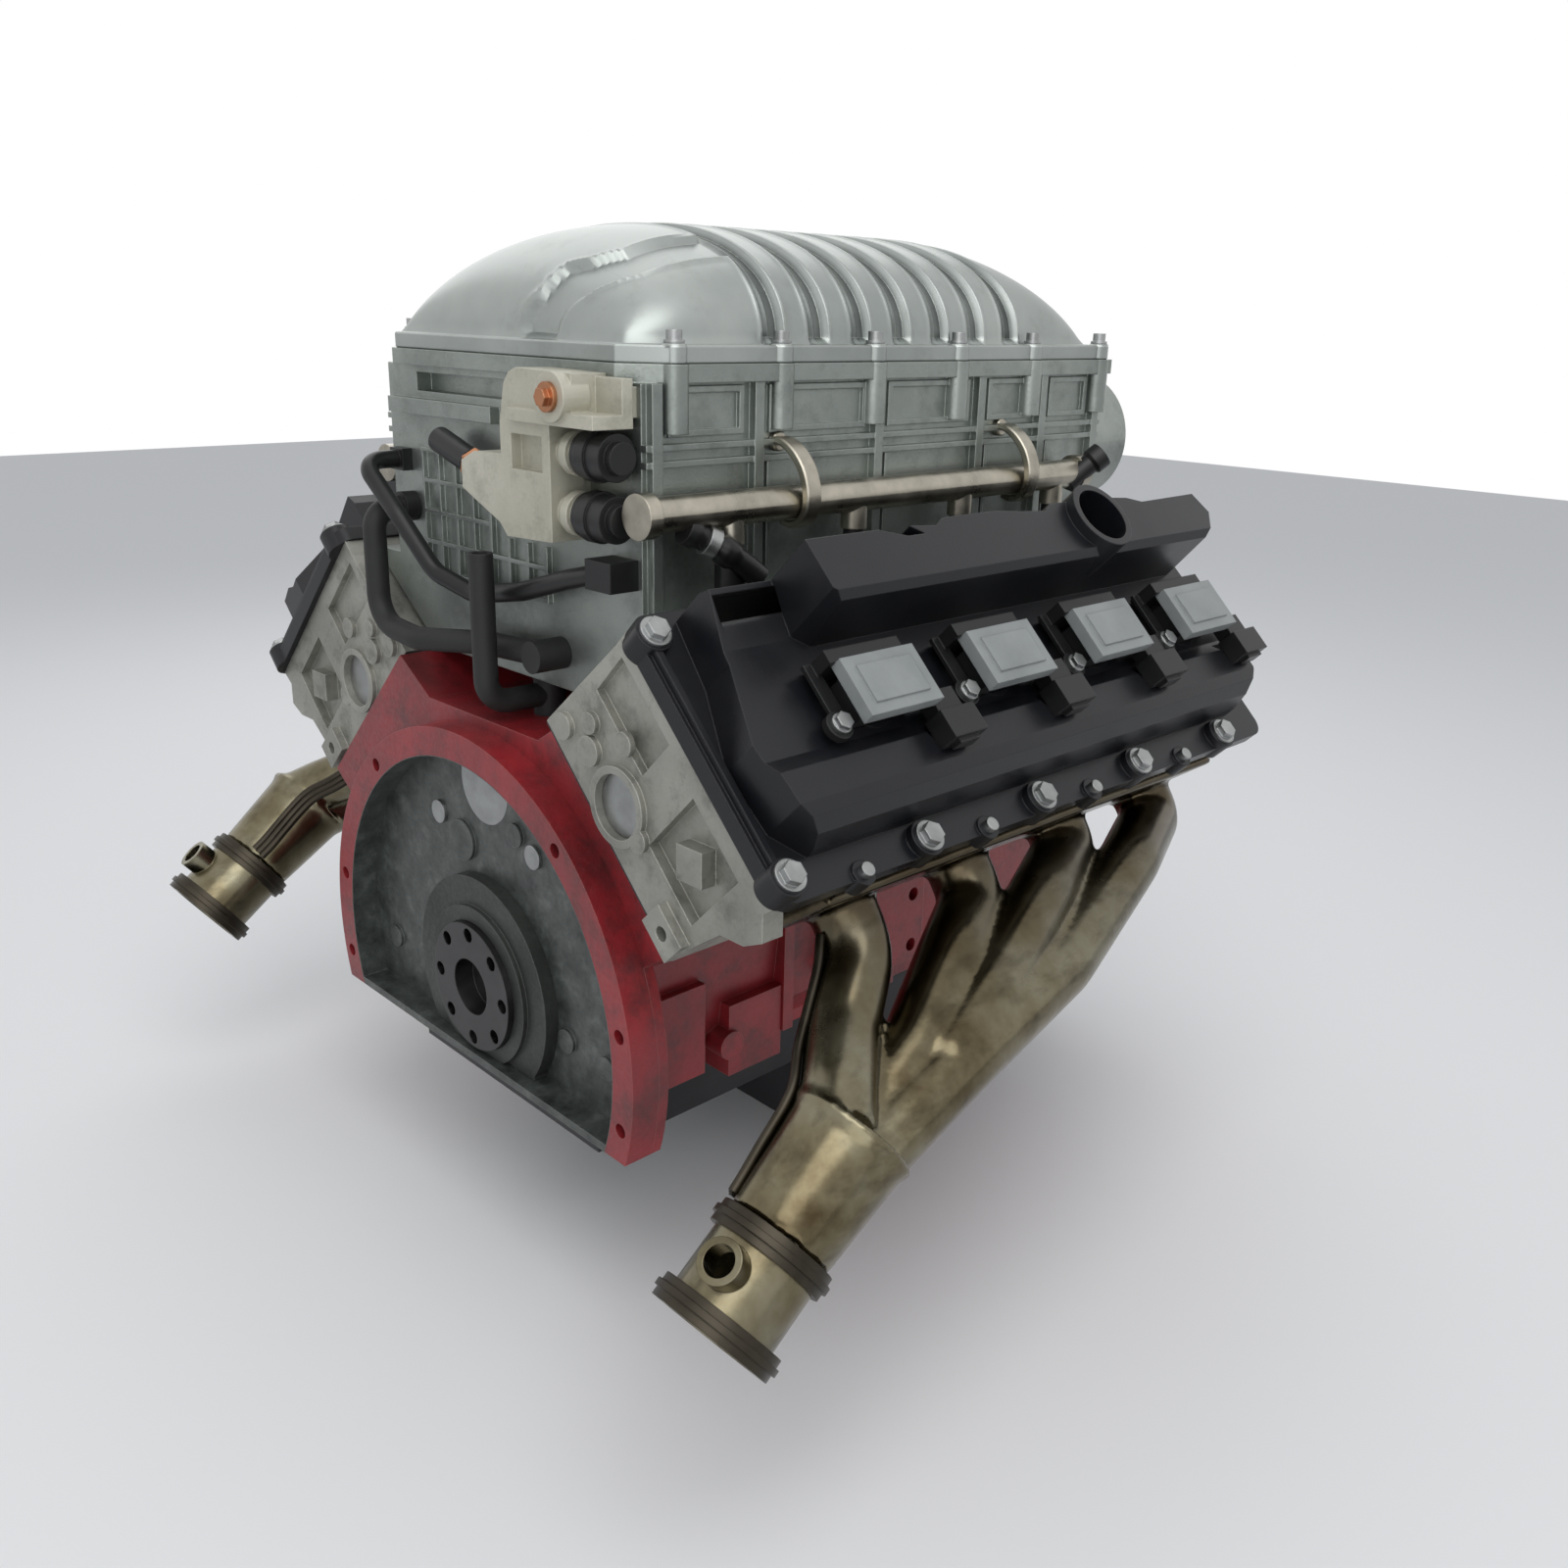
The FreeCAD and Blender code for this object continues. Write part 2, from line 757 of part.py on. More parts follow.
def camshaft():
    """Camshaft with five journals and sixteen lobes."""
    journal = dim.cam_tunnel_radius - dim.shaft_clearance
    rear = dim.bell_depth + 8
    pieces = [cylinder(dim.cam_core_radius - 3, (0, rear, dim.cam_height), dim.chain_plane + 10 - rear,
                       FORWARD)]
    for place in mains:
        pieces.append(cylinder(journal, (0, place - 10, dim.cam_height), 20, FORWARD))
    for n, place in enumerate(throws):
        for m, step in enumerate((-36, -18, 18, 36)):
            turn = math.radians(90 * n + 45 * m + 20)
            lift = (dim.cam_lift * math.sin(turn), dim.cam_lift * math.cos(turn))
            start = (lift[0], place + step - 6, dim.cam_height + lift[1])
            pieces.append(cylinder(dim.cam_lobe_radius, start, 12, FORWARD))
    return subpart("camshaft", join(*pieces))


def sprocket(label, teeth, radius, height, hub):
    """A chain sprocket on the chain plane."""
    start = dim.chain_plane - dim.chain_width / 2
    blank = cylinder(radius, (0, start, height), dim.chain_width, FORWARD)
    notches = []
    for n in range(teeth):
        turn = 2 * math.pi * n / teeth
        spot = (radius * math.cos(turn), start, height + radius * math.sin(turn))
        notches.append(cylinder(3.2, spot, dim.chain_width, FORWARD))
    notches.append(cylinder(hub, (0, start, height), dim.chain_width, FORWARD))
    return subpart(label, cut(blank, *notches))


def loop(circles, plane, width, thickness):
    """A flat band round convex pulleys: circles are (across, up, radius), counter-clockwise from the front."""
    def side(radius_shift):
        edges = []
        count = len(circles)
        tangents = []
        for n in range(count):
            x1, z1, r1 = circles[n]
            x2, z2, r2 = circles[(n + 1) % count]
            r1, r2 = r1 + radius_shift, r2 + radius_shift
            gap = math.hypot(x2 - x1, z2 - z1)
            heading = math.atan2(z2 - z1, x2 - x1)
            normal = heading - math.pi / 2 + math.asin((r2 - r1) / gap) * -1
            tangents.append((Vector(x1 + r1 * math.cos(normal), 0, z1 + r1 * math.sin(normal)),
                             Vector(x2 + r2 * math.cos(normal), 0, z2 + r2 * math.sin(normal)), normal))
        for n in range(count):
            x1, z1, r1 = circles[n]
            r1 = r1 + radius_shift
            before = tangents[n - 1][2]
            after = tangents[n][2]
            while after < before:
                after += 2 * math.pi
            middle = (before + after) / 2
            arc = Part.Arc(tangents[n - 1][1],
                           Vector(x1 + r1 * math.cos(middle), 0, z1 + r1 * math.sin(middle)),
                           tangents[n][0])
            edges.append(arc.toShape())
            edges.append(Part.LineSegment(tangents[n][0], tangents[n][1]).toShape())
        return Part.Face(Part.Wire(edges))
    gap = float(dim.air_gap)
    band = side(gap + float(thickness)).cut(side(gap))
    solid = band.extrude(Vector(0, float(width), 0))
    solid.translate(Vector(0, float(plane) - float(width) / 2, 0))
    return feature(solid)


def piston_height(bank, index):
    """Height of a wrist pin over the crank axis at the crank's rest angle."""
    crank = float(dim.stroke) / 2
    swing = math.radians(THROW_ANGLES[index] + CRANK_REST_ANGLE - bank.side * LEAN)
    reach = crank * math.cos(swing)
    return dim.stroke / 2 * math.cos(swing) + rod_length * math.sqrt(
        1 - (crank * math.sin(swing) / float(rod_length)) ** 2)


def piston(bank, index):
    """One piston with its ring pack grooves, dished crown, skirt reliefs and wrist pin hole."""
    radius = dim.bore_diameter / 2 - dim.piston_clearance
    crown = piston_height(bank, index) + dim.compression_height
    skirt = crown - dim.piston_length
    place = bank.bores()[index]
    blank = cylinder(radius, (0, place, skirt), dim.piston_length)
    tools = [cylinder(radius * 0.7, (0, place, crown - 3), 3)]
    for drop in (6, 12, 18):
        tools.append(pipe(radius, radius - 3, (0, place, crown - drop - 2), 2))
    tools.append(cylinder(radius - 8, (0, place, skirt), dim.piston_length - 26))
    pin_boss = overlap(
        cylinder(radius - 1, (0, place, skirt), dim.piston_length - 24),
        box((-16, place - radius, skirt + 8), (16, place + radius, crown - 22)),
    )
    hollow = join(cut(blank, *tools), pin_boss)
    pin = cylinder(12, (0, place - radius, crown - dim.compression_height), radius * 2, FORWARD)
    label = "piston_%s_%d" % (bank.name, index + 1)
    return subpart(label, bank.lean(cut(hollow, pin)))


# ---- heads and covers -------------------------------------------------------------------------


def head_gaskets():
    """Thin gaskets between decks and heads, with the bores cut out."""
    plates = []
    for bank in BANKS:
        plate = bank.box((-dim.deck_half_width, dim.head_rear, dim.deck_height),
                         (dim.deck_half_width, dim.head_rear + dim.head_length, head_floor))
        holes = [cylinder(dim.bore_diameter / 2 + 1, (0, place, dim.deck_height), dim.gasket_thickness)
                 for place in bank.bores()]
        plates.append(bank.lean(cut(plate, *holes)))
    return subpart("head_gaskets", group(*plates))


def head_outline(bank):
    """Section of a cylinder head: intake face inboard, splayed exhaust face outboard."""
    return bank.outline([
        (-dim.head_inner, head_floor),
        (dim.head_outer, head_floor),
        (dim.head_outer, head_floor + dim.exhaust_face_foot),
        (dim.head_top_outer, head_top),
        (8 - dim.head_inner, head_top),
        (8 - dim.head_inner, head_top - 14),
    ])


def cylinder_head(bank):
    """Cylinder head with spark plug wells, cored pockets, bosses and a lug on its rear face."""
    rear = dim.head_rear
    casting = prism(head_outline(bank), rear, dim.head_length)
    lug = prism(bank.outline([(88, head_top - 66), (112, head_top - 42), (118, head_top - 26),
                              (104, head_top - 12)]),
                rear, 16)
    core = (-6 * bank.side, head_floor + 27)
    core_ring = cylinder(dim.core_plug_radius + 5, (core[0], rear - 4, core[1]), 4, FORWARD)
    diamond = prism(bank.outline([(71, head_top - 48), (55, head_top - 32), (39, head_top - 48),
                                  (55, head_top - 64)]), rear - 3, 12)
    pad = bank.box((60, rear - 7, head_floor + 2), (90, rear, head_floor + 24))
    added = [lug, core_ring, diamond, pad]
    for across, up, radius in ((-72, 16, 9), (-46, 28, 10), (-58, 42, 7), (20, 30, 8), (-30, 62, 8)):
        added.append(cylinder(radius, (bank.side * across, rear - 4, head_floor + up), 4, FORWARD))
    tools = []
    for place in bank.bores():
        seat = head_top - dim.plug_seat_depth
        tools.append(cylinder(dim.plug_well_radius, (bank.side * dim.plug_row, place, seat),
                              dim.plug_seat_depth + 1))
        tools.append(cylinder(dim.plug_thread_radius, (bank.side * dim.plug_row, place, head_floor),
                              seat - head_floor + 1))
    tools.append(cylinder(dim.core_plug_radius, (core[0], rear - 4, core[1]), 9, FORWARD))
    tools.append(cylinder(5, (bank.side * 75, rear - 7, head_floor + 13), 14, FORWARD))
    pocket = bank.box((26, rear, head_floor + 34), (82, rear + 8, head_floor + 92))
    shallow = bank.box((-70, rear, head_floor + 60), (-8, rear + 6, head_floor + 96))
    pitted = cut(casting, pocket, shallow)
    return subpart("cylinder_head_" + bank.name, bank.lean(cut(join(pitted, *added), *tools)))


def cover_section(bank, wall):
    """Section of a valve cover's body above its rail, shrunk by a wall for the inside."""
    edge = dim.cover_hump_edge - wall
    crown = head_top + dim.cover_hump_height - wall
    foot = head_top + dim.cover_rail * 0.4
    return bank.outline([
        (wall - dim.cover_inner + 8, foot),
        (wall - dim.cover_inner + 8, head_top + dim.cover_valley_height),
        (wall - dim.ridge_inner, head_top + dim.cover_valley_height + 10),
        (wall * 2 - dim.ridge_outer, head_top + dim.cover_valley_height - wall),
        (dim.cover_hump_edge - 44, head_top + dim.cover_valley_height + 2 - wall),
        (dim.cover_hump_edge - 34, crown),
        (edge - 14, crown),
        (edge - 6, crown - 4),
        (edge + 1, crown - 14),
        (edge + 5, crown - 28),
        (edge + 6, foot),
    ])


def ridge_section(bank, wall):
    """Section of the tall ridge along the inboard side of a valve cover."""
    return bank.outline([
        (wall - dim.ridge_inner - 10, head_top + dim.cover_rail * 0.4),
        (wall - dim.ridge_inner - 7, head_top + dim.ridge_height - 8 - wall),
        (wall - dim.ridge_inner - 3, head_top + dim.ridge_height - wall),
        (-dim.ridge_outer - wall, head_top + dim.ridge_height - wall),
        (-dim.ridge_outer + 4 - wall, head_top + dim.ridge_height - 6 - wall),
        (-dim.ridge_outer + 10 - wall, head_top + dim.cover_rail * 0.4),
    ])


def ridge_plan(bank, rear, front):
    """Plan of the ridge: chamfered ends, bolt bosses and notches along the inboard edge."""
    outer = -dim.ridge_outer + 12
    inner = -dim.ridge_inner
    plan = [(outer, rear + 16), (outer, front - 22), (inner + 22, front), (inner + 4, front - 6),
            (inner + 5, front - 76), (inner, front - 92)]
    for place in bank.bores()[2:0:-1]:
        plan += [(inner - 6, place + 12), (inner - 6, place - 10), (inner + 2, place - 26),
                 (inner, place - 50)]
    plan += [(inner + 7, rear + 100), (inner + 7, rear + 84), (inner, rear + 62), (inner, rear),
             (outer - 14, rear)]
    return bank.outline(plan)


def hump_plan(bank, rear, front):
    """Plan of the cover's body: its rear and front ends slant across the bank."""
    inner = 8 - dim.cover_inner
    outer = dim.cover_hump_edge + 6
    return bank.outline([(inner, rear + 10), (-24, rear + 4), (28, rear - 12), (outer - 20, rear - 8),
                         (outer, rear + 10), (outer, front - 10), (outer - 18, front), (inner, front)])


def valve_cover(bank):
    """Moulded valve cover: bolted rail, hump over the rockers, tall ridge, filler neck, coil wells."""
    wall = dim.cover_wall
    rear = dim.head_rear - dim.cover_overhang
    length = dim.head_length + dim.cover_overhang * 2
    hump_rear = rear + dim.hump_inset
    hump_front = rear + length - dim.hump_inset
    hump_length = hump_front - hump_rear + 24
    ridge_front = hump_front
    ridge_length = ridge_front - dim.ridge_rear
    rail = prism(bank.outline([(-dim.cover_inner, head_top), (dim.cover_outer, head_top),
                               (dim.cover_outer, rail_top), (-dim.cover_inner, rail_top)]), rear, length)
    rail = rounded(rail, 12, lambda edge: along(edge, UP))
    lip = bank.box((8 - dim.cover_inner, rear + 3, rail_top), (dim.cover_outer - 12, rear + 8, rail_top + 5))
    lift = head_top + dim.ridge_height - rail_top + 2
    hump = overlap(prism(cover_section(bank, 0), hump_rear - 14, hump_length + 14),
                   prism(hump_plan(bank, hump_rear, hump_front), head_top, lift, "XY"))
    ridge = overlap(prism(ridge_section(bank, 0), dim.ridge_rear, ridge_length),
                    prism(ridge_plan(bank, dim.ridge_rear, ridge_front), head_top, lift + dim.cover_rail,
                          "XY"))
    inside = prism(cover_section(bank, wall), hump_rear + wall + 6, hump_front - hump_rear - wall * 2 - 14)
    cavity = bank.box((wall - dim.ridge_inner, dim.ridge_rear + wall + 8, head_top),
                      (-dim.ridge_outer - wall, ridge_front - wall - 24, head_top + dim.ridge_height - wall))
    floor = bank.box((wall + 8 - dim.cover_inner, hump_rear + wall + 6, head_top),
                     (dim.cover_hump_edge + 6 - wall, hump_front - wall - 8, head_top + dim.cover_rail * 0.4))
    neck_top = head_top + dim.ridge_height + dim.filler_rise
    neck_base = (-bank.side * dim.filler_row, dim.filler_place, neck_top - dim.filler_depth)
    added = [cylinder(dim.filler_radius + dim.filler_wall, neck_base, dim.filler_depth)]
    holes = [cylinder(dim.filler_radius, neck_base, dim.filler_depth)]
    for place in bank.bores():
        start = (bank.side * dim.plug_row, place, head_top)
        added.append(cylinder(dim.plug_well_radius + wall, start, dim.cover_valley_height + 2))
        holes.append(cylinder(dim.plug_well_radius, start, dim.cover_valley_height + 12))
        scallop = (bank.side * (dim.cover_hump_edge - 40), place + 44, head_top + dim.cover_valley_height + 4)
        holes.append(cylinder(19, scallop, 20))
    bosses = [cylinder(dim.cover_bolt_radius + 2, (bank.side * across, place, head_top), dim.cover_rail + 6)
              for across, place in cover_bolt_spots(bank)]
    for across, place in cover_stud_spots(bank):
        bosses.append(cylinder(8, (bank.side * across, place, head_top), dim.cover_rail + 2))
    shell = cut(join(rail, lip, hump, ridge, *bosses), inside, cavity, floor)
    return subpart("valve_cover_" + bank.name, bank.lean(cut(join(shell, *added), *holes)))


def cover_bolt_spots(bank):
    """Places of the big cover bolts, outboard and along the bank."""
    outer = dim.cover_outer - dim.cover_bolt_radius + 1
    inner = dim.cover_bolt_radius + 6 - dim.cover_inner
    rear = dim.head_rear + 3
    front = dim.head_length - 3
    spots = [(outer, place + 13) for place in bank.bores()]
    return [(outer - 5, rear)] + spots + [(inner, rear), (inner, front)]


def cover_stud_spots(bank):
    """Places of the small studs between the big bolts."""
    return [(dim.cover_outer - 3, place - 44) for place in bank.bores()]


def cover_bolts():
    """Captive large-washer bolts and small studs around both covers."""
    bolts = []
    washer = dim.cover_bolt_radius * 2
    for bank in BANKS:
        heads = []
        for across, place in cover_bolt_spots(bank):
            heads.append(bolt((bank.side * across, place, rail_top + 6), UP, 13, 7, washer))
        for across, place in cover_stud_spots(bank):
            heads.append(cylinder(4.5, (bank.side * across, place, rail_top + 2), 5))
        bolts.append(bank.lean(group(*heads)))
    return subpart("cover_bolts", group(*bolts))


def coil_parts():
    """Coil-on-plug units with their frames and connectors, bolts and the spark plugs below them."""
    coils, connectors, bolts, plugs = [], [], [], []
    row = dim.plug_row
    half_width = dim.coil_width / 2
    inner = row - dim.coil_depth / 2
    outer = row + dim.coil_depth / 2
    top = head_top + dim.coil_top
    plate_floor = top - dim.coil_plate
    base = head_top + dim.cover_valley_height + 3
    seat = head_top - dim.plug_seat_depth
    for bank in BANKS:
        for place in bank.bores():
            plate = bank.box((inner, place - half_width, plate_floor), (outer, place + half_width, top))
            raised = bank.box((inner + 7, place - half_width + 8, top),
                              (outer - 7, place + half_width - 8, top + 1.5))
            core = bank.box((inner + 6, place - half_width + 6, base),
                            (outer - 6, place + half_width - 6, plate_floor))
            boot_start = seat + 30
            boot = cylinder(dim.boot_radius, (bank.side * row, place, boot_start), base + 1 - boot_start)
            coils.append(bank.lean(join(plate, raised, core, boot)))
            frame = bank.box((inner - 9, place - half_width - 4, base),
                             (inner, place + half_width - 4, top - 4))
            rest = head_top + dim.cover_hump_height
            ear = cylinder(9, (bank.side * (outer - 6), place - half_width - 10, rest), top - 16 - rest)
            bridge = bank.box((inner - 9, place - half_width - 10, rest),
                              (outer - 6, place - half_width, top - 18))
            plug_body = bank.box((outer + 5, place + 28, rest), (outer + 24, place + 58, rest + 16))
            neck = bank.box((outer - 10, place + half_width, rest),
                            (outer + 6, place + half_width + 22, rest + 12))
            latch = bank.box((outer + 24, place + 34, rest + 3), (outer + 27, place + 52, rest + 12))
            connectors.append(bank.lean(join(frame, bridge, ear)))
            connectors.append(bank.lean(join(neck, plug_body, latch)))
            bolts.append(bank.lean(bolt((bank.side * (outer - 6), place - half_width - 10, top - 16), UP, 10,
                                        6, 13)))
            thread = cylinder(dim.plug_thread_radius, (bank.side * row, place, head_floor - 3),
                              seat - head_floor + 3)
            nut = hexagon(16, (bank.side * row, place, seat), 12)
            stem = cylinder(5, (bank.side * row, place, seat + 12), 18)
            plugs.append(bank.lean(join(thread, nut, stem)))
    subpart("ignition_coils", group(*coils))
    subpart("coil_connectors", group(*connectors))
    subpart("coil_bolts", group(*bolts))
    subpart("spark_plugs", group(*plugs))


# ---- exhaust ----------------------------------------------------------------------------------


def bent_path(points, radius):
    """A wire of straight runs joined by tangent arcs no larger than the runs allow."""
    edges = []
    last = points[0]
    for before, corner, after in zip(points, points[1:], points[2:]):
        inward = (corner - before).normalize()
        outward = (after - corner).normalize()
        turn = inward.getAngle(outward)
        room = 0.45 * min(before.distanceToPoint(corner), after.distanceToPoint(corner))
        trim = min(room, radius * math.tan(turn / 2))
        start = corner - inward * trim
        end = corner + outward * trim
        size = trim / math.tan(turn / 2)
        bisector = (outward - inward).normalize()
        middle = corner + bisector * (size / math.cos(turn / 2) - size)
        edges.append(Part.LineSegment(last, start).toShape())
        edges.append(Part.Arc(start, middle, end).toShape())
        last = end
    edges.append(Part.LineSegment(last, points[-1]).toShape())
    return Part.Wire(edges)


def swept(points, radius, bend):
    """A round bar along a bent path."""
    path = bent_path(points, bend)
    ring = Part.Wire(Part.Circle(points[0], points[1] - points[0], float(radius)).toShape())
    return path.makePipeShell([ring], True, False)


def exhaust_direction(bank):
    """The outward normal of a head's splayed exhaust face."""
    rise = float(dim.head_height - dim.exhaust_face_foot)
    run = float(dim.head_top_outer - dim.head_outer)
    slope = math.atan2(run, rise)
    return Vector(*bank.direction(math.cos(slope), 0, -math.sin(slope)))


def manifold_points(bank):
    """Centre lines of the four primaries, rear to front, and the collector's line."""
    def at(across, place, up):
        return Vector(bank.side * across, place + float(bank.shift), up)
    weld = at(362, 31, 35)
    outlet = [weld, at(362, -77, -46)]
    axis = (outlet[1] - outlet[0]).normalize()
    rise = Vector(0, axis.z, -axis.y)
    inward = Vector(-bank.side, 0, 0)
    ports = []
    out = exhaust_direction(bank)
    share = (dim.port_rise - dim.exhaust_face_foot) / (dim.head_height - dim.exhaust_face_foot)
    outboard = dim.head_outer + (dim.head_top_outer - dim.head_outer) * share
    for place in bank.bores():
        face = bank.world(outboard, place, head_floor + dim.port_rise)
        ports.append(Vector(*face) + out * 4)
    lines = [
        [ports[0], ports[0] + out * 36, at(318, 68, 74), at(346, 36, 56), weld + rise * 15 + axis * 4],
        [ports[1], ports[1] + out * 34, at(318, 170, 92), at(343, 108, 56),
         weld - rise * 13 + inward * 8 + axis * 4],
        [ports[2], ports[2] + out * 24, at(318, 264, 106), at(348, 170, 72), at(360, 118, 50)],
        [ports[3], ports[3] + out * 26, at(322, 366, 104), at(350, 246, 69), at(364, 130, 50),
         weld - rise * 16 - inward * 6 + axis * 4],
    ]
    return lines, outlet


def exhaust_manifold(bank):
    """Tubular manifold: a port flange and four primaries swept into one collector, with its weld bead."""
    lines, outlet = manifold_points(bank)
    axis = (outlet[1] - outlet[0]).normalize()
    length = (outlet[1] - outlet[0]).Length - float(dim.outlet_length)
    weld_radius = float(dim.collector_radius)
    solid = Part.makeCone(weld_radius, float(dim.outlet_radius), length, outlet[0], axis)
    solid = solid.fuse(Part.makeTorus(weld_radius - 1, 3.5, outlet[0], axis))
    for line in reversed(lines[2:]):
        solid = solid.fuse(Part.makeSphere(float(dim.primary_radius), line[-1]))
        solid = solid.fuse(swept(line, dim.primary_radius, 60))
    for line in reversed(lines[:2]):
        solid = solid.fuse(swept(line, dim.primary_radius, 60))
    mouth = outlet[0] + axis * 14
    hollow = Part.makeCylinder(float(dim.outlet_bore_radius) - 3, length - 14, mouth, axis)
    tubes = feature(solid.cut(hollow))
    flange = exhaust_flange(bank, 0, dim.manifold_flange)
    return subpart("exhaust_manifold_" + bank.name, join(tubes, flange))


def exhaust_flange(bank, start, thickness):
    """A plate lying on the splayed exhaust face, from a start distance off it."""
    rise = head_top - head_floor - dim.exhaust_face_foot
    run = dim.head_top_outer - dim.head_outer
    slope = math.atan2(float(run), float(rise))
    out = (math.cos(slope), -math.sin(slope))
    up = (math.sin(slope), math.cos(slope))
    foot = (dim.head_outer, head_floor + dim.exhaust_face_foot)
    low, high = 12, 84
    corners = []
    for distance, height in ((start, low), (start + thickness, low), (start + thickness, high),
                             (start, high)):
        corners.append((foot[0] + out[0] * distance + up[0] * height,
                        foot[1] + out[1] * distance + up[1] * height))
    plate = prism(bank.outline(corners), dim.head_rear + 52, dim.head_length - 84)
    return bank.lean(plate)


def exhaust_outlets():
    """Outlet pipes below the collectors, each with a sensor boss and two clamp bands."""
    outlets = []
    bands = []
    radius = float(dim.outlet_radius)
    bore_radius = float(dim.outlet_bore_radius)
    length = float(dim.outlet_length)
    width = float(dim.band_width)
    for bank in BANKS:
        _, line = manifold_points(bank)
        axis = (line[1] - line[0]).normalize()
        start = line[1] - axis * length
        boss_axis = Vector(0.2 * bank.side, -0.62, 0.76).normalize()
        boss_start = start + axis * (length * 0.46)
        tube = Part.makeCylinder(radius, length, start, axis)
        boss = Part.makeCylinder(float(dim.sensor_boss_radius), radius + 13, boss_start, boss_axis)
        bore = Part.makeCylinder(bore_radius, length, start, axis)
        hole = Part.makeCylinder(float(dim.sensor_boss_radius) - 4, radius + 13, boss_start, boss_axis)
        outlets.append(feature(tube.fuse(boss).cut(bore.fuse(hole))))
        for place, grow in ((start, 4), (line[1] - axis * width, 6)):
            band = Part.makeCylinder(radius + grow, width, place, axis)
            rim = Part.makeCylinder(radius + grow + 2, width * 0.3, place + axis * (width * 0.35), axis)
            bands.append(feature(band.fuse(rim).cut(Part.makeCylinder(radius, width, place, axis))))
    subpart("exhaust_outlets", group(*outlets))
    subpart("band_clamps", group(*bands))


# ---- supercharger -----------------------------------------------------------------------------


def housing_section():
    """Section of the supercharger's lower case, seated on the heads' intake faces."""
    seat_low = RIGHT.world(1 - dim.head_inner, 0, head_floor)
    seat_high = RIGHT.world(9 - dim.head_inner, 0, head_top - 15)
    return mirrored([
        (seat_low[0] - 8, seat_low[2] + 4),
        (seat_high[0] - 3, seat_high[2] + 1),
        (seat_high[0] - 3, housing_floor),
        (dim.housing_half_width, housing_floor),
        (dim.housing_half_width, housing_top),
    ])


def flange_bolt_spots():
    """Places of the bolts down both sides of the lid flange."""
    step = (housing_length - 30) / 5
    return [(side * (dim.housing_half_width + 2), dim.housing_rear + 24 + step * n)
            for side in (1, -1) for n in range(6)]


def supercharger_housing():
    """Ribbed lower case with rotor bores, charge cooler pockets and the lid flange."""
    rear, front = dim.housing_rear, housing_front
    wall = dim.housing_half_width
    case = prism(housing_section(), rear, housing_length)
    pieces = [case, supercharger_flange(housing_top, 0)]
    columns = (rear + 8, rear + 92, rear + 206, rear + 318, rear + 395, front - 8)
    for side in (1, -1):
        for place in columns:
            near, far = sides(side, wall - 4, wall + 6)
            pieces.append(box((near, place - 4, housing_floor), (far, place + 4, housing_top)))
        near, far = sides(side, wall - 4, wall + 5)
        for drop in (50, 40):
            pieces.append(box((near, rear, housing_top - drop), (far, front, housing_top - drop + 4)))
        near, far = sides(side, wall - 4, wall + 3)
        for before, after in zip(columns, columns[1:]):
            panel = box((near, before + 11, housing_top - 32), (far, after - 11, housing_top - 2))
            inset = box((near, before + 15, housing_top - 28), (far, after - 15, housing_top - 6))
            pieces.append(cut(panel, inset))
        near, far = sides(side, wall - 4, wall + 4)
        for place in columns[1:5]:
            pieces.append(box((near, place + 9, housing_floor), (far, place + 12, housing_top - 50)))
    for across, place in flange_bolt_spots():
        pieces.append(cylinder(9, (across, place, housing_top - 30), 30 + dim.flange_thickness))
    pieces.append(box((-139, rear - 8, housing_top - 34), (-3, rear, housing_top - 23)))
    for n in range(8):
        height = 82 if n < 5 else 30
        pieces.append(box((22 * n - 104, rear - 4, housing_floor - 8),
                          (22 * n - 101, rear, housing_floor + height)))
    for n in range(5):
        end = 53 if n < 2 else -13
        pieces.append(box((-104, rear - 4, housing_floor - 8 + 22 * n),
                          (end, rear, housing_floor - 5 + 22 * n)))
    bore = dim.rotor_tip_radius + dim.rotor_bore_clearance
    tools = []
    for side in (1, -1):
        start = (side * dim.rotor_offset, dim.rotor_rear - 2, rotor_height)
        tools.append(cylinder(bore, start, dim.rotor_length + 4, FORWARD))
        shaft = (side * dim.rotor_offset, rear + 8, rotor_height)
        tools.append(cylinder(dim.rotor_shaft_radius + dim.shaft_clearance, shaft, housing_length - 8,
                              FORWARD))
        near = wall - 8 - dim.cooler_width
        low, high = sides(side, near, wall - 8)
        tools.append(box((low, rear + 26, housing_floor + 14), (high, front - 40, lid_base)))
    tools.append(box((-dim.rotor_offset, dim.rotor_rear, rotor_height),
                     (dim.rotor_offset, dim.rotor_rear + dim.rotor_length, lid_base)))
    tools.append(box((-110, rear, housing_top - 18), (4, rear + 12, housing_top - 5)))
    tools.append(cylinder(dim.throttle_bore_radius, (dim.throttle_side, front - 24, throttle_height), 24,
                          FORWARD))
    return subpart("supercharger_housing", cut(join(*pieces), *tools))


def supercharger_flange(level, step):
    """Bolting flange with a bevelled rear corner on each side, drawn in by a step."""
    half = dim.housing_half_width + 8 - step
    rear, front = dim.housing_rear - 6 + step, housing_front + 6 - step
    points = [(half - 26, rear), (half, rear + 26), (half, front), (-half, front), (-half, rear + 26),
              (26 - half, rear)]
    return prism(points, level, dim.flange_thickness, "XY")


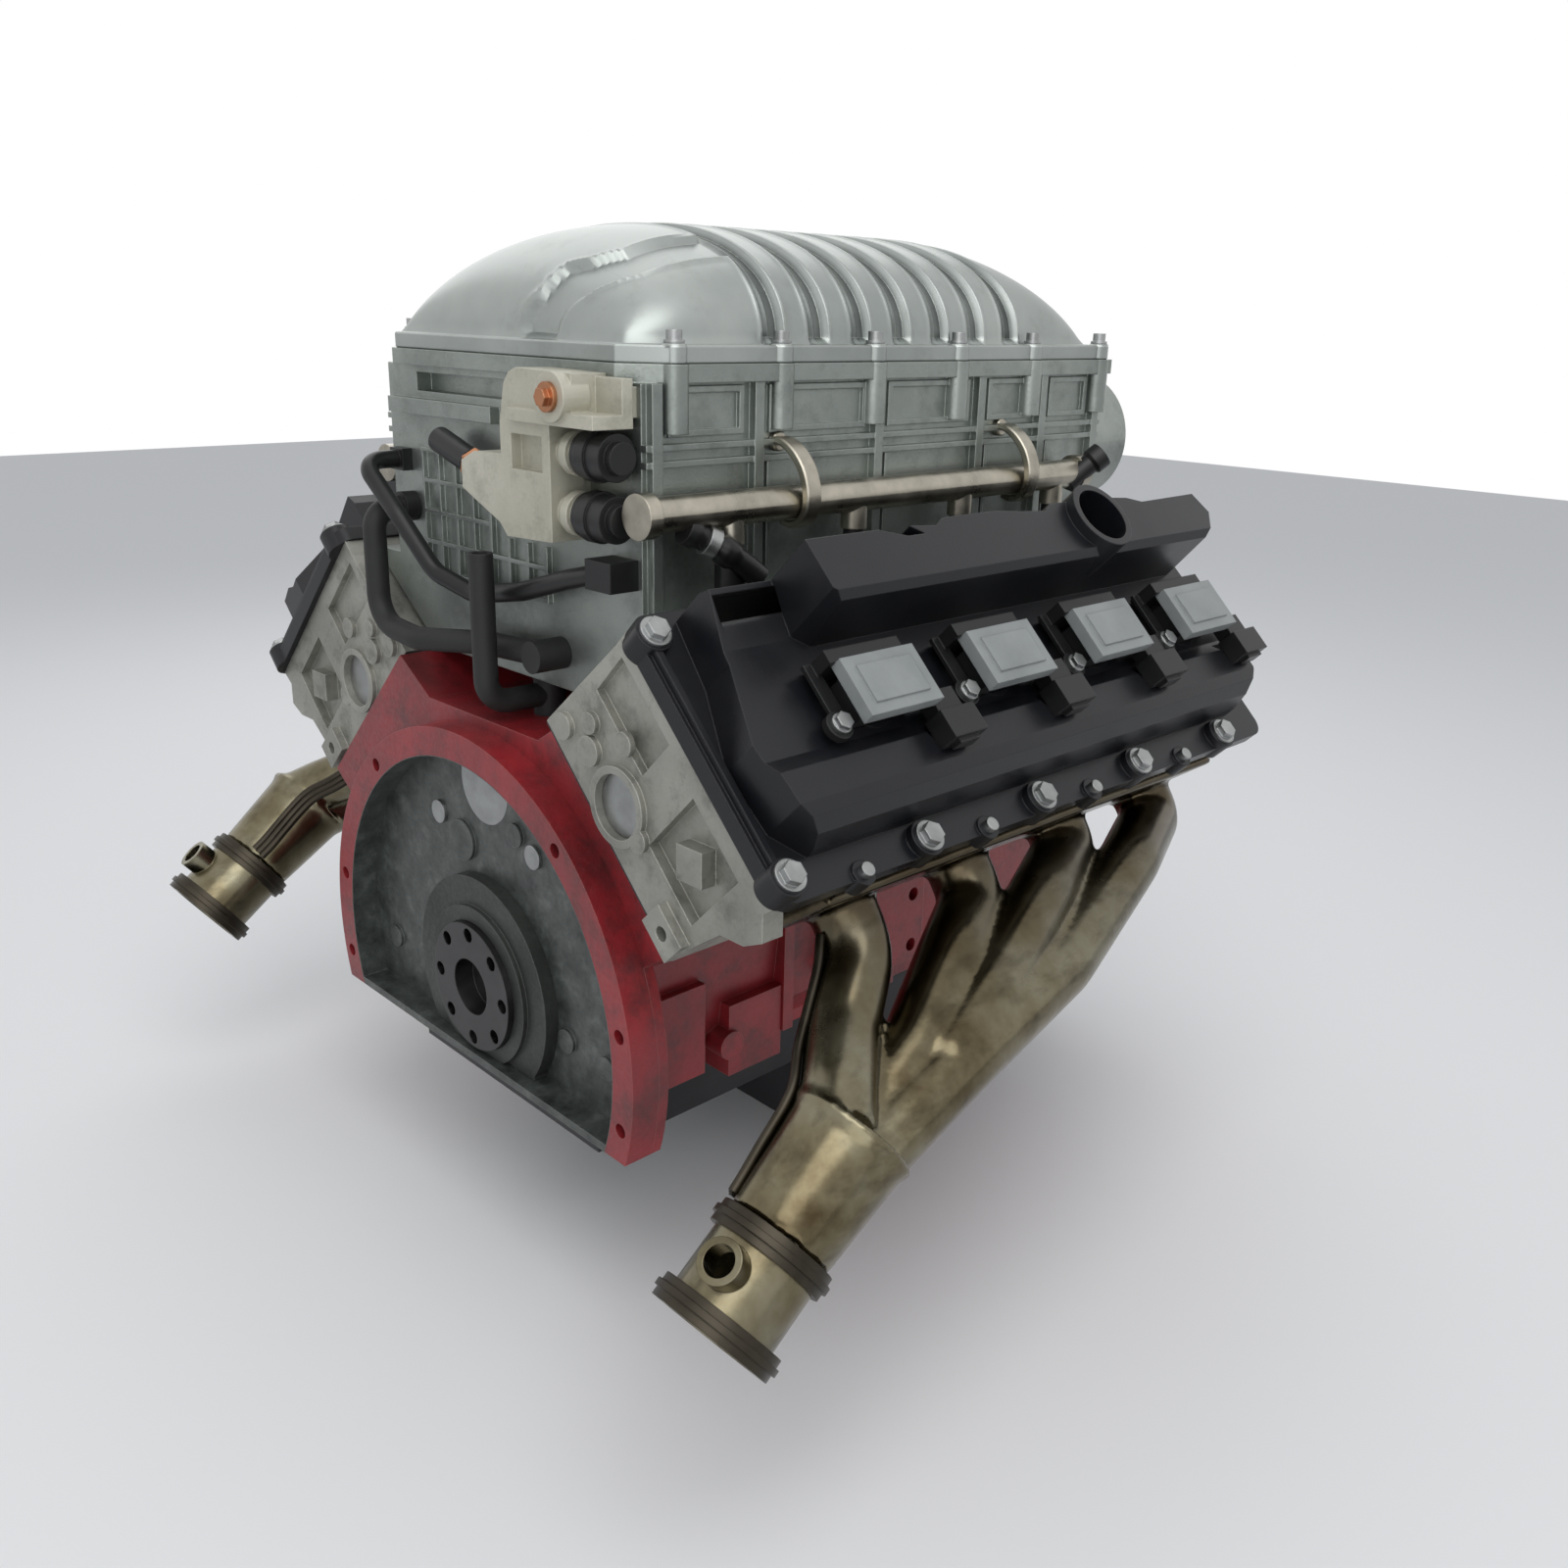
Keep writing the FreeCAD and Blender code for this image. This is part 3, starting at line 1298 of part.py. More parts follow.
def dome_wire(place, half_width, height):
    """One cross section of the lid: a flat base and a domed arch."""
    squareness = 2 / 2.25
    points = []
    for n in range(13):
        turn = math.pi * n / 12
        across = half_width * math.copysign(abs(math.cos(turn)) ** squareness, math.cos(turn))
        points.append(Vector(across, place, float(lid_top) - 1 + height * abs(math.sin(turn)) ** squareness))
    arch = Part.BSplineCurve()
    arch.interpolate(points)
    return Part.Wire([arch.toShape(), Part.LineSegment(points[-1], points[0]).toShape()])


def dome(shrink):
    """The lid's domed form, lofted from rear to front."""
    half = float(dim.dome_half_width)
    top = float(dim.dome_height)
    rear = float(dim.housing_rear) + 2
    span = float(housing_length) - 4
    stations = ((0.0, 0.90, 0.08), (0.015, 0.945, 0.32), (0.045, 0.975, 0.60), (0.09, 0.99, 0.81),
                (0.15, 1.0, 0.93), (0.23, 1.0, 0.99), (0.4, 1.0, 1.0), (0.7, 1.0, 1.0), (0.86, 1.0, 0.88),
                (0.96, 0.975, 0.52), (1.0, 0.93, 0.10))
    wires = [dome_wire(rear + span * along_part, half * wide - shrink, top * tall - shrink * tall)
             for along_part, wide, tall in stations]
    return Part.makeLoft(wires, True, False)


def supercharger_lid():
    """Domed lid: bolting flange, hollow dome, seven transverse grooves and a channel at the rear."""
    outer = dome(0)
    first = float(dim.groove_start)
    depth = float(dim.groove_depth)
    width = float(dim.groove_width)
    base = float(lid_top)
    cuts = []
    for share, inset in ((0.4, 0.0), (1.0, 0.17)):
        core = dome(depth * share)
        for n in range(7):
            place = first + float(dim.groove_pitch) * n + width * inset
            slab = Part.makeBox(400, width * (1 - 2 * inset), 120, Vector(-200, place, base + 4))
            cuts.append(slab.cut(core))
    rear = float(dim.housing_rear)
    plan = [(23, rear - 8), (63, rear - 8), (63, rear + 2), (82, rear + 11), (95, rear + 22),
            (105, rear + 36), (108, rear + 58), (108, first + 4), (78, first + 4), (76, rear + 46),
            (62, rear + 30), (46, rear + 23),
            (36, rear + 8), (23, rear + 2)]
    corners = [Vector(across, place, base + 5) for across, place in plan]
    channel = Part.Face(Part.makePolygon(corners + corners[:1])).extrude(Vector(0, 0, 120))
    cuts.append(channel.cut(dome(depth * 0.9)))
    shell = outer.cut(Part.makeCompound(cuts))
    flange = supercharger_flange(lid_base, 2)
    opening = box((10 - dim.dome_half_width, dim.housing_rear + 18, lid_base),
                  (dim.dome_half_width - 10, housing_front - 18, lid_top))
    bosses = [cylinder(8, (across, place, lid_base), dim.flange_thickness + 1)
              for across, place in flange_bolt_spots()]
    return subpart("supercharger_lid", join(cut(join(flange, *bosses), opening), feature(shell)))


def lid_bolts():
    """Bolts down both sides of the lid flange."""
    heads = []
    for across, place in flange_bolt_spots():
        start = (across, place, lid_top + 1)
        heads.append(join(cylinder(6.5, start, 2), cylinder(5, start, 8)))
    return subpart("lid_bolts", group(*heads))


def charge_coolers():
    """Two liquid charge coolers either side of the rotors."""
    coolers = []
    for side in (1, -1):
        inner = dim.housing_half_width - 8 - dim.cooler_width + 1
        near, far = sides(side, inner, dim.housing_half_width - 9)
        coolers.append(box((near, dim.housing_rear + 27, housing_floor + 14),
                           (far, housing_front - 41, lid_base - 2)))
    return subpart("charge_coolers", group(*coolers))


def rotor(label, side, lobes, core, facing, shaft_front):
    """A screw rotor: a core with straight-sided lobes, on its shaft, one lobe turned to an angle."""
    across = side * dim.rotor_offset
    start = (across, dim.rotor_rear, rotor_height)
    pieces = [cylinder(core, start, dim.rotor_length, FORWARD)]
    width = 44 / float(lobes)
    tip = cylinder(dim.rotor_tip_radius, (0, 0, 0), dim.rotor_length, FORWARD)
    for n in range(lobes):
        blade = box((-width / 2, 0, 0), (width / 2, dim.rotor_length, dim.rotor_tip_radius))
        lobe = overlap(blade, tip)
        pieces.append(put(lobe, start, Rotation(Vector(0, 1, 0), facing + 360 * n / lobes)))
    rear = dim.housing_rear + 10
    pieces.append(cylinder(dim.rotor_shaft_radius, (across, rear, rotor_height), shaft_front - rear, FORWARD))
    return subpart(label, join(*pieces))


def supercharger_snout():
    """Tapered drive housing on the front of the case."""
    front = housing_front
    body = turned([(dim.rotor_shaft_radius + 0.3, front), (48, front), (48, front + 8), (26, front + 26),
                   (22, front + dim.snout_length), (dim.rotor_shaft_radius + 0.3, front + dim.snout_length)])
    return subpart("supercharger_snout", put(body, (-dim.rotor_offset, 0, rotor_height)))


def ribbed_pulley(label, radius, across, height, bore, hub_rear, shaft_rear=None):
    """A belt pulley on the belt plane, bored for a shaft or made with a shaft of its own."""
    rear = belt_plane - dim.belt_width / 2 - dim.air_gap - 3
    front = belt_plane + dim.belt_width / 2 + dim.air_gap + 3
    rim = [(bore + 8, hub_rear), (bore + 8, rear), (radius + 2, rear), (radius + 2, rear + 3),
           (radius, rear + 3), (radius, front - 3), (radius + 2, front - 3), (radius + 2, front)]
    if shaft_rear is None:
        body = turned([(bore, hub_rear)] + rim + [(bore, front)])
    else:
        body = turned([(0, shaft_rear), (bore, shaft_rear), (bore, hub_rear)] + rim + [(0, front)])
    return subpart(label, put(body, (across, 0, height)))


# ---- fuel and coolant -------------------------------------------------------------------------


def fuel_rails():
    """Tubular fuel rails along both sides of the case."""
    rails = []
    for bank in BANKS:
        across = bank.side * rail_side
        start = (across, dim.rail_rear + bank.shift, rail_height)
        tube = cylinder(dim.rail_radius, start, dim.rail_length, FORWARD)
        caps = [cylinder(dim.rail_radius + 3, start, 10, FORWARD),
                cylinder(dim.rail_radius + 3, (across, dim.rail_rear + dim.rail_length - 10 + bank.shift,
                                               rail_height), 10, FORWARD)]
        cups = []
        for place in bank.bores():
            cups.append(cylinder(9, (across, place + bank.shift, rail_height - 22), 16))
        rails.append(join(tube, *caps, *cups))
    return subpart("fuel_rails", group(*rails))


def rail_clamps():
    """Flat bracket clamps that carry the rails on the case's horizontal rib."""
    clamps = []
    for bank in BANKS:
        for place in (155, 390):
            near, far = sides(bank.side, dim.housing_half_width + 5, rail_side + 16)
            strap = box((near, place - 5 + bank.shift, rail_height - 15), (far, place + 5 + bank.shift,
                                                                              rail_height + 38))
            hole = cylinder(dim.rail_radius, (bank.side * rail_side, place - 5 + bank.shift, rail_height),
                            10,
                            FORWARD)
            clamps.append(cut(strap, hole))
    return subpart("rail_clamps", group(*clamps))


def fuel_injectors():
    """Injectors between the rails' cups and the case's lower flange."""
    injectors = []
    for bank in BANKS:
        across = bank.side * rail_side
        for place in bank.bores():
            spot = place + bank.shift
            top = rail_height - 22
            injectors.append(join(cylinder(7, (across, spot, housing_floor), top - housing_floor),
                                  cylinder(10, (across, spot, housing_floor + 12), 18)))
    return subpart("fuel_injectors", group(*injectors))


def coolant_manifold():
    """Cast coolant outlet behind the supercharger: a stepped body, an arm, an ear and two collared stubs."""
    face = dim.housing_rear
    low = housing_floor
    body = [(66, low + 146), (58, low + 143), (52, low + 136), (46, low + 112), (46, low + 92),
            (14, low + 91), (-2, low + 84), (-2, low + 66), (42, low + 48), (50, low + 40),
            (100, low + 42), (100, low + 120), (124, low + 122), (124, low + 145)]
    casting = prism(body, face - 32, 26)
    neck = box((54, face - 6, low + 46), (98, face, low + 132))
    shelf = box((60, face - 36, low + 114), (150, face - 6, low + 122))
    ear = box((120, face - 14, low + 118), (150, face - 6, low + 143))
    lug = box((124, face - 6, low + 120), (146, face, low + 138))
    boss = cylinder(15, (111, face - 39, low + 131), 20, FORWARD)
    hollow = box((58, face - 32, low + 84), (92, face - 24, low + 106))
    root = cylinder(8, (4, face - 16, low + 75), 10, (-0.96, 0, 0.28))
    pieces = [cut(casting, hollow), neck, shelf, ear, lug, boss, root]
    for up in (97, 60):
        start = (96, face - 16, low + up)
        pieces.append(cylinder(11, start, 22, (1, 0, 0)))
        pieces.append(cylinder(14, (106, face - 16, low + up), 7, (1, 0, 0)))
    return subpart("coolant_manifold", join(*pieces))


def coolant_caps():
    """Quick-connect caps on the two stubs and on the arm's fitting."""
    face = dim.housing_rear
    low = housing_floor
    caps = []
    for up in (97, 60):
        sleeve = cylinder(14.5, (118, face - 16, low + up), 29, (1, 0, 0))
        grip = cylinder(16, (124, face - 16, low + up), 9, (1, 0, 0))
        nose = cylinder(10, (147, face - 16, low + up), 6, (1, 0, 0))
        caps.append(join(sleeve, grip, nose))
    caps.append(cylinder(9, (-15.2, face - 16, low + 80.6), 42, (-0.96, 0, 0.28)))
    return subpart("coolant_caps", group(*caps))


def coolant_fittings():
    """Copper coloured fittings: the arm's hexagon and the plug in the big boss."""
    face = dim.housing_rear
    low = housing_floor
    arm_axis = (-0.96, 0, 0.28)
    start = (-5.6, face - 16, low + 77.8)
    nut = join(hexagon(19, start, 8, arm_axis), cylinder(6, start, 10, arm_axis))
    plug = join(cylinder(9, (111, face - 42, low + 131), 3, FORWARD),
                hexagon(10, (111, face - 46, low + 131), 4, FORWARD))
    return subpart("coolant_fittings", group(nut, plug))


def hoses():
    """Two hoses behind the supercharger: one down and across its rear face, one up out of the valley."""
    face = float(dim.housing_rear)
    low = float(housing_floor)
    radius = dim.hose_radius
    route = [(-124, 0, 38), (-124, -34, 38), (-125, -34, -46), (-72, -33, -50), (-8, -15, -44),
             (62, -14, -40)]
    across = swept([Vector(x, face + y, low + z) for x, y, z in route], radius, 24)
    end = cylinder(dim.hose_radius + 2.5, (62, dim.housing_rear - 26, housing_floor - 40), 26, FORWARD)
    collar = cylinder(dim.hose_radius + 2.5, (-124, dim.housing_rear - 12, housing_floor + 38), 12, FORWARD)
    foot = float(dim.valley_height)
    upright = swept([Vector(19, face - 34, low + 25), Vector(19, face - 34, foot + 15),
                     Vector(19, face + 18, foot + 15)],
                    radius, 18)
    boss = cylinder(dim.hose_radius + 3, (19, dim.housing_rear + 18, dim.valley_height), 27)
    mouth = cylinder(dim.hose_radius - 3, (19, dim.housing_rear - 34, housing_floor + 5), 20)
    return subpart("hoses", group(join(feature(across), end, collar),
                                  cut(join(feature(upright), boss), mouth)))


def wiring_loom():
    """Loom behind the supercharger from its left shoulder to a connector at its right corner."""
    face = float(dim.housing_rear)
    low = float(housing_floor)
    route = [(-132, 0, 72), (-132, -36, 72), (-88, -34, 38), (-58, -24, 0), (-22, -14, -12), (40, -15, 0),
             (92, -14, 16), (124, -13, 24)]
    loom = swept([Vector(x, face + y, low + z) for x, y, z in route], dim.loom_radius, 26)
    socket = box((120, dim.housing_rear - 22, housing_floor + 15),
                 (146, dim.housing_rear, housing_floor + 34))
    start = box((-141, dim.housing_rear - 8, housing_floor + 64),
                (-123, dim.housing_rear, housing_floor + 80))
    return subpart("wiring_loom", join(feature(loom), socket, start))


# ---- front end --------------------------------------------------------------------------------


def timing_cover():
    """Front cover over the chain, carried on the block's front face."""
    half = [(dim.pan_rail_half_width - 10, -dim.skirt_depth), (dim.pan_rail_half_width - 10, 30),
            (92, 120), (80, dim.cam_height + 81)]
    rear = dim.block_length
    shell = prism(mirrored(half), rear, dim.timing_cover_depth)
    hollow = [(dim.pan_rail_half_width - 20, 8 - dim.skirt_depth), (dim.pan_rail_half_width - 20, 26),
              (82, 112), (72, dim.cam_height + 73)]
    space = prism(mirrored(hollow), rear, dim.timing_cover_depth - 6)
    hole = cylinder(dim.snout_radius + 8 + dim.air_gap, (0, rear, 0), dim.timing_cover_depth, FORWARD)
    pivot = cylinder(dim.tensioner_pin, tensioner_pivot(timing_front), 18, FORWARD)
    return subpart("timing_cover", join(cut(shell, space, hole), pivot))


def tensioner_pivot(place):
    """The tensioner arm's pivot, inboard of and below its pulley."""
    return (70 - dim.tensioner_side, place, dim.tensioner_height - 60)


def tensioner_arm():
    """Cast arm from the pivot to the pulley's pin."""
    rear = timing_front + dim.air_gap
    pivot = tensioner_pivot(rear)
    end = (-dim.tensioner_side, rear, dim.tensioner_height)
    reach = math.hypot(70, 60)
    beam = put(group(box((0, 0, -11), (reach, 12, 11))), pivot, Rotation(Vector(0, 1, 0), 180 + math.degrees(
        math.atan2(60, 70))))
    hub = cylinder(17, pivot, 16, FORWARD)
    tip = cylinder(14, end, 12, FORWARD)
    pin_front = belt_plane + dim.belt_width / 2
    pin = cylinder(dim.tensioner_pin, end, pin_front - rear, FORWARD)
    hole = cylinder(dim.tensioner_pin + dim.shaft_clearance, pivot, 18, FORWARD)
    return subpart("tensioner_arm", cut(join(beam, hub, tip, pin), hole))


def water_pump():
    """Water pump housing on the front of the timing cover."""
    snail = cylinder(50, (dim.pump_side, timing_front, dim.pump_height), 14, FORWARD)
    nose = cylinder(20, (dim.pump_side, timing_front, dim.pump_height), 18, FORWARD)
    bearing = cylinder(dim.pump_shaft_radius + dim.shaft_clearance,
                       (dim.pump_side, timing_front + 3, dim.pump_height),
                       15, FORWARD)
    return subpart("water_pump_housing", cut(join(snail, nose), bearing))


def oil_pan():
    """Deep front sump pan with a shallow rear."""
    def side(wall):
        depth = pan_top - dim.pan_depth
        shallow = pan_top - dim.pan_shallow_depth
        return [(dim.bell_flange + wall, pan_top), (dim.bell_flange + wall, shallow + wall),
                (dim.sump_start + wall, shallow + wall), (dim.sump_start + 30 + wall, depth + wall),
                (dim.sump_end - wall, depth + wall), (dim.block_length - wall, shallow - 12 + wall),
                (dim.block_length - wall, pan_top)]
    reach = dim.pan_rail_half_width
    outer = prism(side(0), -reach, reach * 2, "YZ")
    inner = prism(side(dim.pan_wall), dim.pan_wall - reach, (reach - dim.pan_wall) * 2, "YZ")
    drain = bolt((dim.pan_rail_half_width, dim.sump_end - 60, pan_top - dim.pan_depth + 26), (1, 0, 0), 18, 6,
                 24)
    return subpart("oil_pan", join(cut(outer, inner), drain))


def pan_gasket():
    """Gasket between the block's skirt and the pan."""
    reach = dim.pan_rail_half_width
    plate = box((-reach, dim.bell_flange, pan_top), (reach, dim.block_length, -dim.skirt_depth))
    hole = box((8 - reach, dim.bell_flange + 12, pan_top),
               (reach - 8, dim.block_length - 8, -dim.skirt_depth))
    return subpart("oil_pan_gasket", cut(plate, hole))


def throttle():
    """Throttle body with its blade on an upright shaft, and a clamped inlet lip."""
    front = housing_front
    outer = dim.throttle_bore_radius + dim.throttle_wall
    thick = outer + dim.throttle_swell
    start = (dim.throttle_side, front, throttle_height)
    middle = front + dim.throttle_setback
    casting = cylinder(thick, start, dim.throttle_length - dim.throttle_lip, FORWARD)
    lip = cylinder(outer, start, dim.throttle_length, FORWARD)
    motor = cylinder(20, (dim.throttle_side, middle, throttle_height + outer - 4), 22)
    bore = cylinder(dim.throttle_bore_radius, start, dim.throttle_length, FORWARD)
    shaft_reach = outer - 6
    shaft_start = (dim.throttle_side, middle, throttle_height - shaft_reach)
    shaft_hole = cylinder(dim.throttle_shaft_radius + dim.shaft_clearance, shaft_start, shaft_reach * 2)
    subpart("throttle_body", cut(join(casting, lip, motor), bore, shaft_hole))
    blade = cylinder(dim.throttle_bore_radius - dim.air_gap,
                     (dim.throttle_side, middle - 1.5, throttle_height),
                     3, FORWARD)
    shaft = cylinder(dim.throttle_shaft_radius,
                     (dim.throttle_side, middle, throttle_height - shaft_reach + 0.3),
                     (shaft_reach - 0.3) * 2)
    subpart("throttle_blade", join(blade, shaft))


# ---- assembly ---------------------------------------------------------------------------------

engine_block()
bell_flange()
main_caps()
main_shells()
seal_retainer()
core_plugs()
crankshaft()
camshaft()
sprocket("crank_sprocket", 18, dim.crank_sprocket_radius, 0, dim.snout_radius)
sprocket("cam_sprocket", 36, dim.crank_sprocket_radius * 2, dim.cam_height, dim.cam_core_radius - 3)
for bank in BANKS:
    for index in range(BORES_PER_BANK):
        piston(bank, index)
head_gaskets()
for bank in BANKS:
    cylinder_head(bank)
    valve_cover(bank)
    exhaust_manifold(bank)
cover_bolts()
coil_parts()
exhaust_outlets()
supercharger_housing()
supercharger_lid()
lid_bolts()
charge_coolers()
rotor("rotor_male", -1, MALE_LOBES, dim.rotor_core_radius - 1, 90, belt_plane)
rotor("rotor_female", 1, FEMALE_LOBES, dim.rotor_core_radius + 3, 270 + 180 / FEMALE_LOBES,
      housing_front - 10)
supercharger_snout()
fuel_rails()
rail_clamps()
fuel_injectors()
coolant_manifold()
coolant_caps()
coolant_fittings()
hoses()
wiring_loom()
timing_cover()
water_pump()
oil_pan()
pan_gasket()
throttle()
ribbed_pulley("crank_damper", dim.damper_radius, 0, 0, dim.snout_radius, timing_front - 20)
ribbed_pulley("blower_pulley", dim.blower_pulley_radius, -dim.rotor_offset, rotor_height,
              dim.rotor_shaft_radius, belt_plane - dim.belt_width / 2 - 8)
ribbed_pulley("pump_pulley", dim.pump_pulley_radius, dim.pump_side, dim.pump_height, dim.pump_shaft_radius,
              timing_front + 18 + dim.air_gap, timing_front + 4)
ribbed_pulley("tensioner_pulley", dim.tensioner_radius, -dim.tensioner_side, dim.tensioner_height,
              dim.tensioner_pin + dim.shaft_clearance, timing_front + 12 + dim.air_gap * 2)
tensioner_arm()
subpart("timing_chain", loop([(0, 0, float(dim.crank_sprocket_radius)),
                              (0, float(dim.cam_height), float(dim.crank_sprocket_radius) * 2)],
                             dim.chain_plane, dim.chain_width, dim.chain_thickness))
subpart("drive_belt", loop([(0, 0, float(dim.damper_radius)),
                            (float(dim.pump_side), float(dim.pump_height), float(dim.pump_pulley_radius)),
                            (-float(dim.rotor_offset), float(rotor_height), float(dim.blower_pulley_radius)),
                            (-float(dim.tensioner_side), float(dim.tensioner_height),
                             float(dim.tensioner_radius))],
                           belt_plane, dim.belt_width, dim.belt_thickness))

doc.recompute()

faults = [thing.Name for thing in doc.Objects if {"Invalid", "Error"} & set(thing.State)]
if faults:
    raise SystemExit("objects that failed: " + ", ".join(faults))
for thing in subparts:
    if thing.Shape.isNull() or not thing.Shape.isValid():
        raise SystemExit("bad shape: " + thing.Label)

os.makedirs("parts", exist_ok=True)
for thing in subparts:
    thing.Shape.exportStep("parts/%s.step" % thing.Label)
    print(thing.Label, len(thing.Shape.Solids), round(thing.Shape.Volume / 1000, 1))
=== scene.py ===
"""Looks of the supercharged V8 engine: materials, fine pieces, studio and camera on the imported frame."""
import math

import bmesh
import bpy
from mathutils import Matrix, Vector


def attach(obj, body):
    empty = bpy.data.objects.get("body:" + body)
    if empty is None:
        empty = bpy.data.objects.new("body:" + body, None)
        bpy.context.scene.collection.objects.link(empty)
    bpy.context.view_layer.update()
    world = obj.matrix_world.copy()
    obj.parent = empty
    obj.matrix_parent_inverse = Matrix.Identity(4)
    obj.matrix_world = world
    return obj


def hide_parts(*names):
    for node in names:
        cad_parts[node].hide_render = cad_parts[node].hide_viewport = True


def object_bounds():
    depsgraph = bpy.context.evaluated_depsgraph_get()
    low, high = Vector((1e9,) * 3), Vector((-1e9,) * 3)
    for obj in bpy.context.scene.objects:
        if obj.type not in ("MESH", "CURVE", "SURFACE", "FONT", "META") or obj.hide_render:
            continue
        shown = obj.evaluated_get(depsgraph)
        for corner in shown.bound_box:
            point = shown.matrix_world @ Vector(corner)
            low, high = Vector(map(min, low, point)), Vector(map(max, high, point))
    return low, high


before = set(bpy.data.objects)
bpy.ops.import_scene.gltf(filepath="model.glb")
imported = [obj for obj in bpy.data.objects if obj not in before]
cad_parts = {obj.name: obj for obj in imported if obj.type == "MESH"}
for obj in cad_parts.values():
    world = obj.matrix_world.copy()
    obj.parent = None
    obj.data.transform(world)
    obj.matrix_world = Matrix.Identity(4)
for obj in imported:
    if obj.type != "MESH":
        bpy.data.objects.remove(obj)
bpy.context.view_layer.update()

MM = 0.001
HALF_ROOT = math.sqrt(0.5)
EDGE_ROUND = 1.1 * MM

# Places and sizes below are millimetres in the CAD frame: x right, y forward from the block's rear, z up.
BANKS = ((1, 0.0), (-1, 24.0))  # side of x and forward shift of each cylinder bank
BELL_RADIUS = 176.5  # within it the block's rear wall shows inside the bell flange
BELL_WALL = 22.5  # that wall lies behind this y
COIL_CAP = 411.8  # underside of the coils' grey caps, measured square to the bank
PORT_SHADE = (55.0, 135.0)  # z over which painted shade darkens the header toward its ports, below the valve cover
COLLECTOR_TINT = (-90.0, -5.0)  # z over which the header turns an even brown toward its collector

LID_FOOT = 461.5
LID_TOP = 77.0
LID_HALF = 143.0
LID_REAR = 52.0
LID_FRONT = 523.0
LID_BOLTS = [74.0 + 89.0 * n for n in range(6)]  # y of each pair of lid bolts
LID_BOLT_ROW = 152.0
FLANGE_LEVELS = (451.0, 462.0)
GROOVE_MIDDLE = 164.5  # y of the first band's middle
GROOVE_PITCH = 41.3
GROOVES = 7
GROOVE_START = 148.0  # the bands' relief fades in from here
SHADED_BANDS = (150.0, 432.0)  # y between which the sunk bands are painted darker, as painted shade in the grooves
CHANNEL = ((23, 36), (63, 36), (63, 52), (82, 61), (95, 72), (105, 86), (108, 108), (108, 161), (78, 161),
           (76, 96), (62, 80), (46, 73), (36, 58), (23, 52))


# ---- node helpers -----------------------------------------------------------------------------


